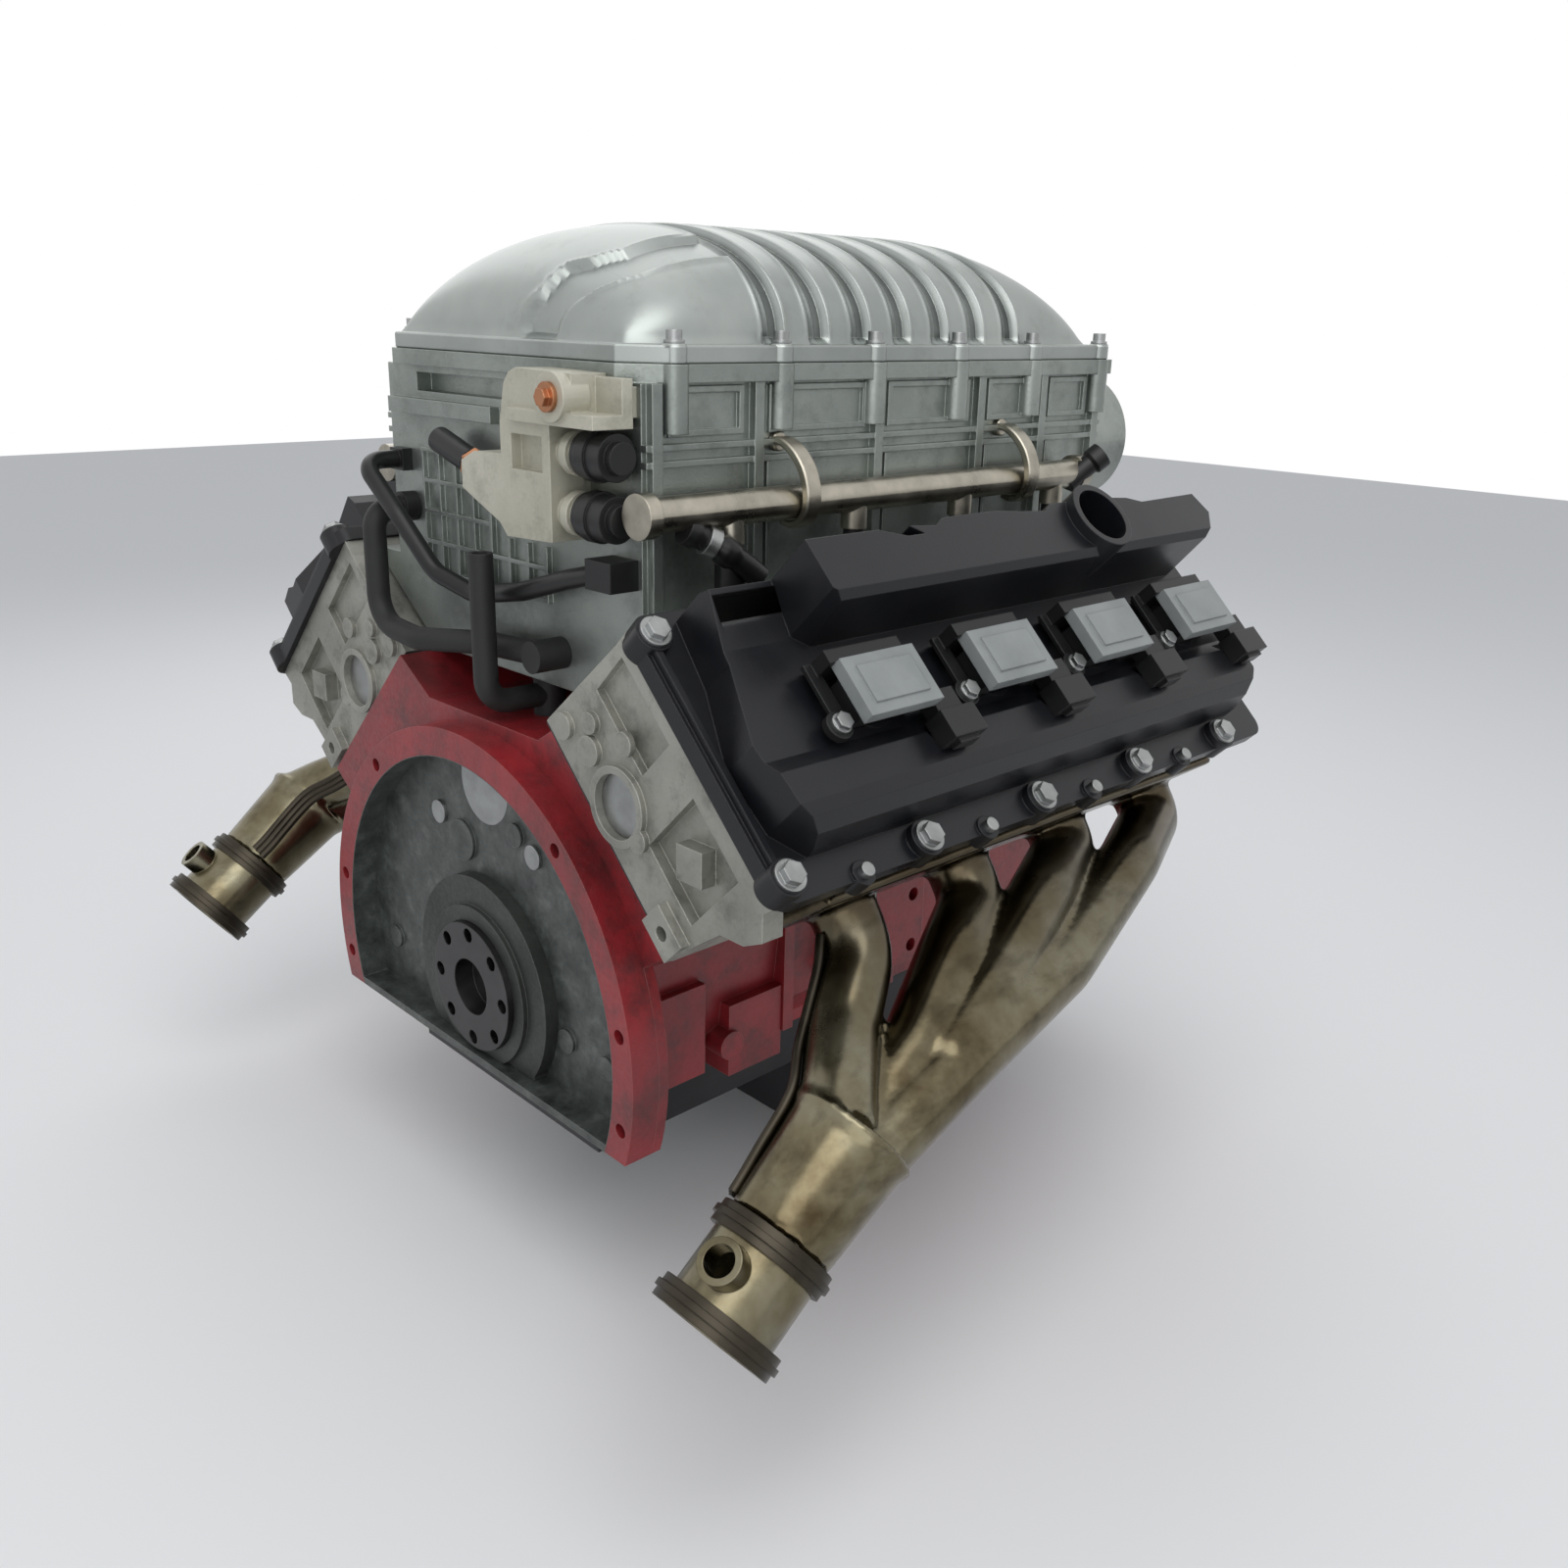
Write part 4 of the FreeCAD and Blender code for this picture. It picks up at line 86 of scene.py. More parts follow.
class Surface:
    """A node material under construction: object coordinates in, one principled shader out."""

    def __init__(self, name):
        self.material = bpy.data.materials.new(name)
        self.material.use_nodes = True
        self.nodes = self.material.node_tree.nodes
        self.links = self.material.node_tree.links
        self.shader = self.nodes["Principled BSDF"]
        self.place = self.nodes.new("ShaderNodeTexCoord").outputs["Object"]
        self.rounded = self.nodes.new("ShaderNodeBevel")
        self.rounded.samples = 4
        self.rounded.inputs["Radius"].default_value = EDGE_ROUND

    def node(self, kind, **settings):
        """Add a node and set its properties."""
        made = self.nodes.new("ShaderNode" + kind)
        for key, value in settings.items():
            setattr(made, key, value)
        return made

    def link(self, source, target):
        """Connect an output to an input."""
        self.links.new(source, target)

    def fill(self, socket, value):
        """Set a socket from another node's output, a number or a colour."""
        if hasattr(value, "is_linked"):
            self.link(value, socket)
        elif isinstance(value, (int, float)):
            socket.default_value = value
        else:
            socket.default_value = (*value, 1)

    def noise(self, scale, detail=4.0, rough=0.55, stretch=(1, 1, 1)):
        """Fractal noise in object space, scale in features per metre."""
        place = self.place
        if stretch != (1, 1, 1):
            mapping = self.node("Mapping")
            mapping.inputs["Scale"].default_value = stretch
            self.link(self.place, mapping.inputs["Vector"])
            place = mapping.outputs["Vector"]
        texture = self.node("TexNoise")
        texture.inputs["Scale"].default_value = scale
        texture.inputs["Detail"].default_value = detail
        texture.inputs["Roughness"].default_value = rough
        self.link(place, texture.inputs["Vector"])
        return texture.outputs["Fac"]

    def ramp(self, factor, stops):
        """A colour ramp through (place, colour) stops."""
        made = self.node("ValToRGB")
        band = made.color_ramp
        while len(band.elements) < len(stops):
            band.elements.new(0.5)
        for element, (place, colour) in zip(band.elements, stops):
            element.position = place
            element.color = (*colour, 1)
        self.link(factor, made.inputs["Fac"])
        return made.outputs["Color"]

    def levels(self, factor, low, high, out_low, out_high):
        """Map a range of a value to another range, clamped."""
        made = self.node("MapRange")
        limits = {"From Min": low, "From Max": high, "To Min": out_low, "To Max": out_high}
        for key, value in limits.items():
            made.inputs[key].default_value = value
        self.link(factor, made.inputs["Value"])
        return made.outputs["Result"]

    def mix(self, factor, first, second):
        """Blend two colours."""
        made = self.node("Mix", data_type="RGBA")
        factor_socket, first_socket, second_socket = made.inputs[0], made.inputs[6], made.inputs[7]
        self.fill(factor_socket, factor)
        self.fill(first_socket, first)
        self.fill(second_socket, second)
        return made.outputs[2]

    def bump(self, height, strength, distance, after=None):
        """A normal bumped by a height value, distance in metres, on top of another normal if given."""
        made = self.node("Bump")
        made.inputs["Strength"].default_value = strength
        made.inputs["Distance"].default_value = distance
        self.link(height, made.inputs["Height"])
        self.link(after or self.rounded.outputs["Normal"], made.inputs["Normal"])
        return made.outputs["Normal"]

    def edges(self, low=0.02, high=0.3):
        """A mask of the corners that the bevel rounds, for rubbed edges and painted edge highlights."""
        geometry = self.node("NewGeometry")
        likeness = self.node("VectorMath", operation="DOT_PRODUCT")
        self.link(self.rounded.outputs["Normal"], likeness.inputs[0])
        self.link(geometry.outputs["Normal"], likeness.inputs[1])
        return self.levels(likeness.outputs["Value"], 1.0 - high, 1.0 - low, 1.0, 0.0)

    def arithmetic(self, operation, first, second=0.0):
        """One step of arithmetic on values or numbers."""
        made = self.node("Math", operation=operation)
        for socket, value in zip(made.inputs, (first, second)):
            self.fill(socket, value)
        return made.outputs["Value"]

    def axes(self):
        """The object coordinates, one by one, in metres."""
        split = self.node("SeparateXYZ")
        self.link(self.place, split.inputs["Vector"])
        return split.outputs["X"], split.outputs["Y"], split.outputs["Z"]

    def finish(self, colour, roughness, metallic, normal=None, **extra):
        """Connect the principled shader and hand over the material."""
        self.fill(self.shader.inputs["Base Color"], colour)
        self.fill(self.shader.inputs["Roughness"], roughness)
        self.shader.inputs["Metallic"].default_value = metallic
        for key, value in extra.items():
            self.shader.inputs[key.replace("_", " ")].default_value = value
        if normal is not None:
            self.link(normal, self.shader.inputs["Normal"])
        return self.material


# ---- materials --------------------------------------------------------------------------------


def cast_metal(name, colour, shade, roughness=0.45, grain=420.0, metallic=0.85, grain_depth=0.0004,
               grime=0.5):
    """Sand-cast metal: fine grain, slow colour drift, grime in patches, bright edges that are partly
    rubbed wear and partly painted highlight.
    """
    surface = Surface(name)
    drift = surface.noise(9.0, 5.0)
    tone = surface.ramp(drift, [(0.32, shade), (0.62, colour)])
    dirt = surface.levels(surface.noise(34.0, 7.0, 0.72), 0.50, 0.72, 0.0, grime)
    tone = surface.mix(dirt, tone, tuple(value * 0.38 for value in shade))
    bright = tuple(min(1.0, value * 1.25 + 0.03) for value in colour)
    # Painted highlight: edges and creases are lightened, partly as rubbed wear
    worn_and_highlit = surface.mix(surface.edges(0.03, 0.35), tone, bright)
    fine = surface.noise(grain, 3.0, 0.6)
    rough = surface.levels(fine, 0.3, 0.7, roughness - 0.08, roughness + 0.12)
    normal = surface.bump(fine, 0.35, grain_depth)
    normal = surface.bump(drift, 0.12, 0.0015, normal)
    return surface.finish(worn_and_highlit, rough, metallic, normal)


def plastic(name, colour, roughness=0.42, grain=700.0, dust=0.014, edge=0.035):
    """Moulded satin plastic: fine spark-eroded grain, dust film and slightly paler edges, partly wear and
    partly painted highlight.
    """
    surface = Surface(name)
    film = surface.noise(14.0, 5.0, 0.6)
    tone = surface.ramp(film, [(0.35, colour), (0.78, tuple(value + dust for value in colour))])
    # Painted highlight: edges and creases are lightened a little, partly as wear
    worn_and_highlit = surface.mix(surface.edges(0.05, 0.45), tone, tuple(value + edge for value in colour))
    fine = surface.noise(grain, 2.0)
    rough = surface.levels(film, 0.3, 0.7, roughness - 0.05, roughness + 0.1)
    return surface.finish(worn_and_highlit, rough, 0.0, surface.bump(fine, 0.18, 0.0003), Specular_IOR_Level=0.34)


def machined(name, colour, roughness=0.3, stretch=(1, 1, 1), metallic=1.0):
    """Machined or plated metal: fine tool lines and cloudy roughness."""
    surface = Surface(name)
    lines = surface.noise(900.0, 2.0, 0.5, stretch)
    cloud = surface.noise(40.0, 5.0, 0.6)
    tone = surface.ramp(cloud, [(0.3, tuple(value * 0.62 for value in colour)), (0.7, colour)])
    rough = surface.levels(cloud, 0.25, 0.75, roughness - 0.06, roughness + 0.14)
    return surface.finish(tone, rough, metallic, surface.bump(lines, 0.12, 0.0002))


def inside_bell(surface):
    """Where the casting is the rear wall inside the bell flange, out of the paint."""
    across, place, up = surface.axes()
    squares = surface.arithmetic("ADD", surface.arithmetic("MULTIPLY", across, across),
                                 surface.arithmetic("MULTIPLY", up, up))
    radius = surface.arithmetic("SQRT", squares)
    near = surface.arithmetic("LESS_THAN", radius, BELL_RADIUS * MM)
    behind = surface.arithmetic("LESS_THAN", place, BELL_WALL * MM)
    return surface.arithmetic("MULTIPLY", near, behind)


def block_paint():
    """Deep red enamel over cast iron, rubbed at the edges, which also carry painted edge highlights, and
    oily in patches; bare dark rear wall.
    """
    surface = Surface("red_enamel")
    drift = surface.noise(11.0, 6.0, 0.65)
    tone = surface.ramp(drift, [(0.3, (0.110, 0.008, 0.010)), (0.55, (0.235, 0.012, 0.017)),
                                (0.8, (0.340, 0.022, 0.026))])
    grime = surface.levels(surface.noise(26.0, 7.0, 0.7), 0.50, 0.72, 0.0, 0.75)
    tone = surface.mix(grime, tone, (0.022, 0.010, 0.010))
    # Painted highlight: the red is lightened at edges and creases, partly as rubbed wear
    worn_and_highlit = surface.mix(surface.edges(0.05, 0.4), tone, (0.38, 0.11, 0.10))
    bare = surface.noise(48.0, 7.0, 0.7)
    iron = surface.ramp(bare, [(0.35, (0.012, 0.015, 0.014)), (0.55, (0.045, 0.052, 0.047)),
                               (0.75, (0.115, 0.125, 0.115))])
    # Painted highlight: the bare iron is lightened at edges and creases
    iron = surface.mix(surface.edges(0.02, 0.3), iron, (0.16, 0.17, 0.16))
    colour = surface.mix(inside_bell(surface), worn_and_highlit, iron)
    fine = surface.noise(260.0, 4.0, 0.6)
    rough = surface.levels(fine, 0.3, 0.7, 0.36, 0.55)
    normal = surface.bump(fine, 0.4, 0.0006)
    return surface.finish(colour, rough, 0.0, normal, Coat_Weight=0.2, Coat_Roughness=0.3)


def coil_case():
    """Grey coil cap over a black potted body: the change lies at the cap's underside."""
    surface = Surface("coil_case")
    across, _, up = surface.axes()
    reach = surface.arithmetic("ADD", surface.arithmetic("ABSOLUTE", across), up)
    height = surface.arithmetic("MULTIPLY", reach, HALF_ROOT)
    cap = surface.arithmetic("GREATER_THAN", height, COIL_CAP * MM)
    film = surface.noise(22.0, 5.0, 0.6)
    grey = surface.ramp(film, [(0.3, (0.175, 0.190, 0.190)), (0.7, (0.250, 0.265, 0.262))])
    tone = surface.mix(cap, (0.010, 0.010, 0.011), grey)
    # Painted highlight: the cap's edges and creases are lightened, partly as rubbed wear
    worn_and_highlit = surface.mix(surface.edges(0.05, 0.45), tone, (0.30, 0.31, 0.31))
    tone = surface.mix(cap, tone, worn_and_highlit)
    rough = surface.levels(film, 0.3, 0.7, 0.33, 0.48)
    return surface.finish(tone, rough, 0.0, surface.bump(surface.noise(620.0, 2.0), 0.2, 0.0003))


def header_steel():
    """Stainless tube: golden and brown heat tint, painted shade that darkens it toward the ports, with
    soot in streaks.
    """
    surface = Surface("heat_tinted_steel")
    cloud = surface.noise(13.0, 6.0, 0.6)
    streak = surface.noise(60.0, 4.0, 0.6, (1.0, 0.35, 1.0))
    straw = surface.ramp(cloud, [(0.28, (0.070, 0.052, 0.027)), (0.45, (0.165, 0.142, 0.088)),
                                 (0.62, (0.250, 0.236, 0.170)), (0.80, (0.130, 0.102, 0.054))])
    _, _, up = surface.axes()
    # Painted shade: the tubes turn nearly black up toward their ports, below the valve cover
    port_shade = surface.levels(up, PORT_SHADE[0] * MM, PORT_SHADE[1] * MM, 0.0, 0.75)
    tone = surface.mix(port_shade, straw, (0.040, 0.028, 0.018))
    low = surface.levels(up, COLLECTOR_TINT[0] * MM, COLLECTOR_TINT[1] * MM, 0.55, 0.0)
    tone = surface.mix(low, tone, (0.115, 0.100, 0.066))
    soot = surface.levels(streak, 0.50, 0.76, 0.0, 0.6)
    tone = surface.mix(soot, tone, (0.030, 0.024, 0.016))
    rough = surface.levels(cloud, 0.3, 0.7, 0.17, 0.33)
    normal = surface.bump(streak, 0.12, 0.0006)
    return surface.finish(tone, rough, 1.0, normal)


def lid_metal():
    """Polished casting: bright ribs and ends, painted edge highlights that also stand for rubbed edges,
    sunk bands across painted darker as shade, cloudy sheen.
    """
    surface = Surface("lid_silver")
    drift = surface.noise(7.0, 5.0)
    tone = surface.ramp(drift, [(0.3, (0.235, 0.258, 0.246)), (0.55, (0.320, 0.345, 0.332)),
                                (0.75, (0.400, 0.420, 0.406))])
    _, place, up = surface.axes()
    # Mask of the sunk bands, where painted shade darkens the grooves
    from_first = surface.arithmetic("SUBTRACT", place, GROOVE_MIDDLE * MM)
    turns = surface.arithmetic("DIVIDE", from_first, GROOVE_PITCH * MM)
    share = surface.arithmetic("SUBTRACT", turns, surface.arithmetic("ROUND", turns))
    off = surface.arithmetic("ABSOLUTE", share)
    band = surface.levels(off, 0.17, 0.215, 1.0, 0.0)
    begins = surface.arithmetic("GREATER_THAN", place, SHADED_BANDS[0] * MM)
    ends = surface.arithmetic("LESS_THAN", place, SHADED_BANDS[1] * MM)
    high = surface.levels(up, (LID_FOOT + 2.0) * MM, (LID_FOOT + 5.0) * MM, 0.0, 1.0)
    band_shade = surface.arithmetic("MULTIPLY", surface.arithmetic("MULTIPLY", band, begins),
                              surface.arithmetic("MULTIPLY", ends, high))
    shade = surface.noise(26.0, 6.0, 0.65)
    dark = surface.ramp(shade, [(0.3, (0.095, 0.108, 0.102)), (0.7, (0.190, 0.208, 0.198))])
    # Painted shade: the sunk bands across the lid's middle take a darker mottled colour
    tone = surface.mix(band_shade, tone, dark)
    dirt = surface.levels(surface.noise(30.0, 7.0, 0.7), 0.55, 0.78, 0.0, 0.3)
    tone = surface.mix(dirt, tone, (0.130, 0.138, 0.125))
    # Painted highlight: beads, ribs and edges are lightened almost to white
    worn_and_highlit = surface.mix(surface.edges(0.03, 0.3), tone, (0.60, 0.62, 0.60))
    fine = surface.noise(700.0, 2.0, 0.5)
    rough = surface.levels(drift, 0.3, 0.7, 0.30, 0.44)
    normal = surface.bump(fine, 0.15, 0.0002)
    normal = surface.bump(surface.noise(5.0, 3.0), 0.15, 0.003, normal)
    return surface.finish(worn_and_highlit, rough, 0.9, normal)


SILVER = cast_metal("blower_silver", (0.300, 0.325, 0.304), (0.195, 0.218, 0.202), 0.36, 520.0,
                    grime=0.45)
LID_SILVER = lid_metal()
RAW = cast_metal("raw_aluminium", (0.370, 0.368, 0.330), (0.215, 0.214, 0.190), 0.5, 300.0, 0.6,
                 0.0010, 0.7)
CREAM = cast_metal("cream_casting", (0.50, 0.485, 0.41), (0.36, 0.35, 0.28), 0.5, 340.0, 0.4, 0.0007)
DARK_CAST = cast_metal("dark_casting", (0.075, 0.08, 0.075), (0.03, 0.033, 0.03), 0.5, 300.0, 0.6, 0.0006)
IRON = cast_metal("cast_iron", (0.20, 0.20, 0.20), (0.11, 0.11, 0.11), 0.5, 300.0, 0.8)
COVER = plastic("cover_black", (0.0048, 0.0052, 0.0070), 0.32, 520.0, 0.005, 0.014)
BLACK = plastic("black_plastic", (0.007, 0.007, 0.0075), 0.38, 700.0, 0.008, 0.02)
COIL = coil_case()
RUBBER = plastic("rubber_black", (0.011, 0.011, 0.011), 0.58, 300.0)
ZINC = machined("zinc_plate", (0.40, 0.41, 0.41), 0.34)
STEEL = machined("ground_steel", (0.36, 0.36, 0.37), 0.26, (1, 0.1, 1))
DARK_STEEL = machined("dark_steel", (0.085, 0.084, 0.086), 0.36)
BAND = machined("band_steel", (0.060, 0.052, 0.040), 0.36, (1, 0.1, 1))
RAIL = machined("rail_steel", (0.46, 0.43, 0.36), 0.27, (1, 0.05, 1))
ALLOY = machined("machined_alloy", (0.52, 0.52, 0.51), 0.3)
GASKET = plastic("gasket_black", (0.02, 0.02, 0.022), 0.6)
PAN = plastic("pan_black", (0.012, 0.012, 0.014), 0.35, 260.0)
CERAMIC = plastic("plug_ceramic", (0.62, 0.62, 0.60), 0.2)
COPPER = machined("copper_plug", (0.50, 0.235, 0.125), 0.35)
RED = block_paint()
HEADER = header_steel()

NODE_MATERIALS = {
    "engine_block": RED, "bell_flange": RED, "main_bearing_caps": IRON, "main_bearings": ALLOY,
    "rear_seal_retainer": DARK_CAST, "core_plugs": ZINC, "crankshaft": DARK_STEEL, "camshaft": STEEL,
    "crank_sprocket": STEEL, "cam_sprocket": STEEL, "head_gaskets": GASKET, "cylinder_head_right": RAW,
    "cylinder_head_left": RAW, "valve_cover_right": COVER, "valve_cover_left": COVER,
    "exhaust_manifold_right": HEADER, "exhaust_manifold_left": HEADER, "exhaust_outlets": HEADER,
    "band_clamps": BAND, "cover_bolts": ZINC, "ignition_coils": COIL, "coil_connectors": BLACK,
    "coil_bolts": ZINC, "spark_plugs": CERAMIC, "supercharger_housing": SILVER,
    "supercharger_lid": LID_SILVER, "lid_bolts": ZINC, "charge_coolers": ALLOY, "rotor_male": ALLOY,
    "rotor_female": ALLOY, "supercharger_snout": SILVER, "fuel_rails": RAIL, "rail_clamps": RAIL,
    "fuel_injectors": BLACK, "coolant_manifold": CREAM, "coolant_fittings": COPPER, "hoses": RUBBER,
    "wiring_loom": BLACK, "coolant_caps": BLACK, "timing_cover": RAW, "water_pump_housing": RAW,
    "oil_pan": PAN, "oil_pan_gasket": GASKET, "throttle_body": SILVER, "throttle_blade": ZINC,
    "crank_damper": DARK_STEEL, "blower_pulley": DARK_STEEL, "pump_pulley": PAN,
    "tensioner_pulley": BLACK, "tensioner_arm": RAW, "timing_chain": DARK_STEEL, "drive_belt": RUBBER,
}


def dress(node, material):
    """Give a CAD node its material."""
    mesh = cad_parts[node].data
    mesh.materials.clear()
    mesh.materials.append(material)


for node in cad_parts:
    dress(node, NODE_MATERIALS.get(node, ALLOY))


# ---- mesh helpers -----------------------------------------------------------------------------


class Shape:
    """Closed shells gathered in millimetres, made into one smooth-shaded piece at the end."""

    def __init__(self):
        self.points = []
        self.faces = []

    def skin(self, rows, ring=False, capped=False):
        """Join rows of points, each as long as the next, into a surface."""
        first = len(self.points)
        width = len(rows[0])
        for row in rows:
            self.points.extend(row)
        for row in range(len(rows) - 1):
            for column in range(width if ring else width - 1):
                here = first + row * width + column
                beside = first + row * width + (column + 1) % width
                self.faces.append((here, beside, beside + width, here + width))
        if capped:
            last = first + (len(rows) - 1) * width
            self.faces.append(tuple(range(first + width - 1, first - 1, -1)))
            self.faces.append(tuple(range(last, last + width)))

    def turned(self, profile, start, axis, sides=28):
        """A turned form from (distance along the axis, radius) steps."""
        axis = Vector(axis).normalized()
        across = axis.orthogonal().normalized()
        other = axis.cross(across)
        rows = []
        for distance, radius in profile:
            rows.append(circle(Vector(start) + axis * distance, across, other, radius, sides))
        self.skin(rows, ring=True, capped=True)

    def tube(self, route, radius, sides=14):
        """A round bar along a smooth route; its radius is a number or a function of the way's share."""
        centres = smooth_line(route)
        rows = []
        across = None
        for n, centre in enumerate(centres):
            ahead = centres[min(n + 1, len(centres) - 1)] - centres[max(n - 1, 0)]
            ahead.normalize()
            across = ahead.orthogonal() if across is None else across - ahead * across.dot(ahead)
            across.normalize()
            other = ahead.cross(across)
            size = radius(n / (len(centres) - 1)) if callable(radius) else radius
            rows.append(circle(centre, across, other, size, sides))
        self.skin(rows, ring=True, capped=True)

    def slab(self, outline, low, high, chamfer=0.8, across=False):
        """An outline in plan raised between two levels, or one in XZ drawn along y, chamfered."""
        inner = inset(outline, chamfer)
        levels = ((inner, low), (outline, low + chamfer), (outline, high - chamfer), (inner, high))
        rows = []
        for shape, level in levels:
            rows.append([Vector((x, level, z)) if across else Vector((x, z, level)) for x, z in shape])
        self.skin(rows, ring=True, capped=True)

    def piece(self, name, material, sharp=38, replaces=()):
        """Make the object, riding on the engine."""
        mesh = bpy.data.meshes.new(name)
        mesh.from_pydata([point * MM for point in map(Vector, self.points)], [], self.faces)
        work = bmesh.new()
        work.from_mesh(mesh)
        bmesh.ops.recalc_face_normals(work, faces=work.faces)
        for face in work.faces:
            face.smooth = True
        for edge in work.edges:
            if len(edge.link_faces) == 2 and edge.calc_face_angle() > math.radians(sharp):
                edge.smooth = False
        work.to_mesh(mesh)
        work.free()
        made = bpy.data.objects.new(name, mesh)
        bpy.context.scene.collection.objects.link(made)
        mesh.materials.append(material)
        return settle(made, replaces)


def settle(made, replaces=()):
    """Tie a piece to the engine and hide the CAD parts it replaces."""
    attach(made, "engine")
    if replaces:
        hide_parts(*replaces)
    return made


def circle(centre, across, other, radius, sides):
    """The points of a circle in the plane of two directions."""
    turns = (math.tau * n / sides for n in range(sides))
    return [centre + (across * math.cos(turn) + other * math.sin(turn)) * radius for turn in turns]


def on_bank(route, side, shift):
    """A route of the right bank, or its copy on the left bank."""
    return [(x * side, y + shift, z) for x, y, z in route]


def smooth_line(route, steps=8):
    """A Catmull-Rom line through the route's points."""
    route = [Vector(point) for point in route]
    ends = [route[0] * 2 - route[1], *route, route[-1] * 2 - route[-2]]
    line = []
    for before, start, stop, after in zip(ends, ends[1:], ends[2:], ends[3:]):
        for n in range(steps):
            t = n / steps
            line.append(0.5 * (2 * start + (stop - before) * t
                               + (2 * before - 5 * start + 4 * stop - after) * t ** 2
                               + (3 * start - before - 3 * stop + after) * t ** 3))
    line.append(route[-1])
    return line


def inset(outline, distance):
    """A closed outline moved inward by a distance."""
    area = sum(a[0] * b[1] - b[0] * a[1] for a, b in zip(outline, outline[1:] + outline[:1]))
    turn = 1 if area > 0 else -1
    moved = []
    for before, here, after in zip(outline[-1:] + outline[:-1], outline, outline[1:] + outline[:1]):
        arrive = (Vector(here) - Vector(before)).normalized()
        leave = (Vector(after) - Vector(here)).normalized()
        normal = Vector((-arrive.y - leave.y, arrive.x + leave.x)) * turn
        normal.normalize()
        moved.append((here[0] + normal.x * distance, here[1] + normal.y * distance))
    return moved


def ease(value, start, stop):
    """A smooth step from 0 at start to 1 at stop."""
    share = min(1.0, max(0.0, (value - start) / (stop - start)))
    return share * share * (3 - 2 * share)


# ---- supercharger lid -------------------------------------------------------------------------


def lid_height(share):
    """How tall the lid stands at a share of its length: rounded down at both ends."""
    end = 0.3
    if share < end:
        return (1 - (1 - share / end) ** 2.6) ** (1 / 2.2)
    if share > 1 - end:
        return (1 - (1 - (1 - share) / end) ** 2.4) ** (1 / 1.9)
    return 1.0


def lid_width(share):
    """How wide the lid is at a share of its length: rounded in at both ends."""
    end = 0.12
    rear = 0.10 * max(0.0, 1 - share / end) ** 2.2
    front = 0.07 * max(0.0, 1 - (1 - share) / end) ** 2
    return 1 - rear - front


def groove_relief(place):
    """Sunk bands across the lid, each with a proud bead on both sides and a fine line along it."""
    number = min(GROOVES - 1, max(0, round((place - GROOVE_MIDDLE) / GROOVE_PITCH)))
    off = place - GROOVE_MIDDLE - GROOVE_PITCH * number
    band = 1 - ease(abs(off), 6.8, 9.6)
    bead = 1 - ease(abs(abs(off) - 11.2), 0.3, 2.4)
    line = 1 - ease(abs(off + 2.2), 0.5, 1.8)
    band_depth, bead_rise, line_rise = 4.4, 0.9, 1.3
    return -band_depth * band + bead_rise * bead + line_rise * line * band


def channel_relief(across, place):
    """The sunk channel that climbs from the rear edge into the first band, with bright beads along it."""
    near_channel = 10 < across < 122 and place < 168
    if not near_channel:
        return 0.0
    spot = Vector((across, place))
    inside = False
    nearest = 99.0
    for start, stop in zip(CHANNEL, CHANNEL[1:] + CHANNEL[:1]):
        if (start[1] > place) != (stop[1] > place):
            crossing = start[0] + (place - start[1]) / (stop[1] - start[1]) * (stop[0] - start[0])
            inside ^= across < crossing
        side = Vector(stop) - Vector(start)
        along = min(1.0, max(0.0, (spot - Vector(start)).dot(side) / side.length_squared))
        nearest = min(nearest, (spot - Vector(start) - side * along).length)
    depth = nearest if inside else -nearest
    bead = (1 - ease(abs(depth + 2.2), 0.3, 2.4)) * (1 - ease(place, GROOVE_START, GROOVE_START + 8))
    channel_depth, bead_rise = 4.6, 1.1
    return -channel_depth * ease(depth, -0.6, 2.6) + bead_rise * bead


def lid_relief(across, place):
    """How far a spot of the dome is pushed out: the bands, and the channel that cuts into them."""
    bands = groove_relief(place) * ease(place, GROOVE_START, GROOVE_START + 4)
    channel = channel_relief(across, place)
    if channel < 0:
        return min(bands, channel)
    return max(bands, channel) if bands >= 0 else bands


def lid_places():
    """The lengthwise places of the dome's grid: even, and crowded at both rounded ends."""
    span = LID_FRONT - LID_REAR
    spacing, end = 1.65, 50.0
    rows = int(span / spacing)
    places = [LID_REAR + span * n / rows for n in range(rows + 1)]
    steps = 56
    for n in range(1, steps):
        crowded = end * (n / steps) ** 2
        places.extend((LID_REAR + crowded, LID_FRONT - crowded))
    return sorted(set(places))


def dome_row(place, columns):
    """One arch of the plain dome: a rounded, slightly square section."""
    share = (place - LID_REAR) / (LID_FRONT - LID_REAR)
    power = 2 / 2.25
    row = []
    for column in range(columns + 1):
        turn = math.pi * column / columns
        reach = abs(math.cos(turn)) ** power * math.copysign(1, math.cos(turn))
        rise = abs(math.sin(turn)) ** power if 0 < column < columns else 0.0
        row.append(Vector((LID_HALF * lid_width(share) * reach, place,
                           LID_FOOT + LID_TOP * lid_height(share) * rise)))
    return row


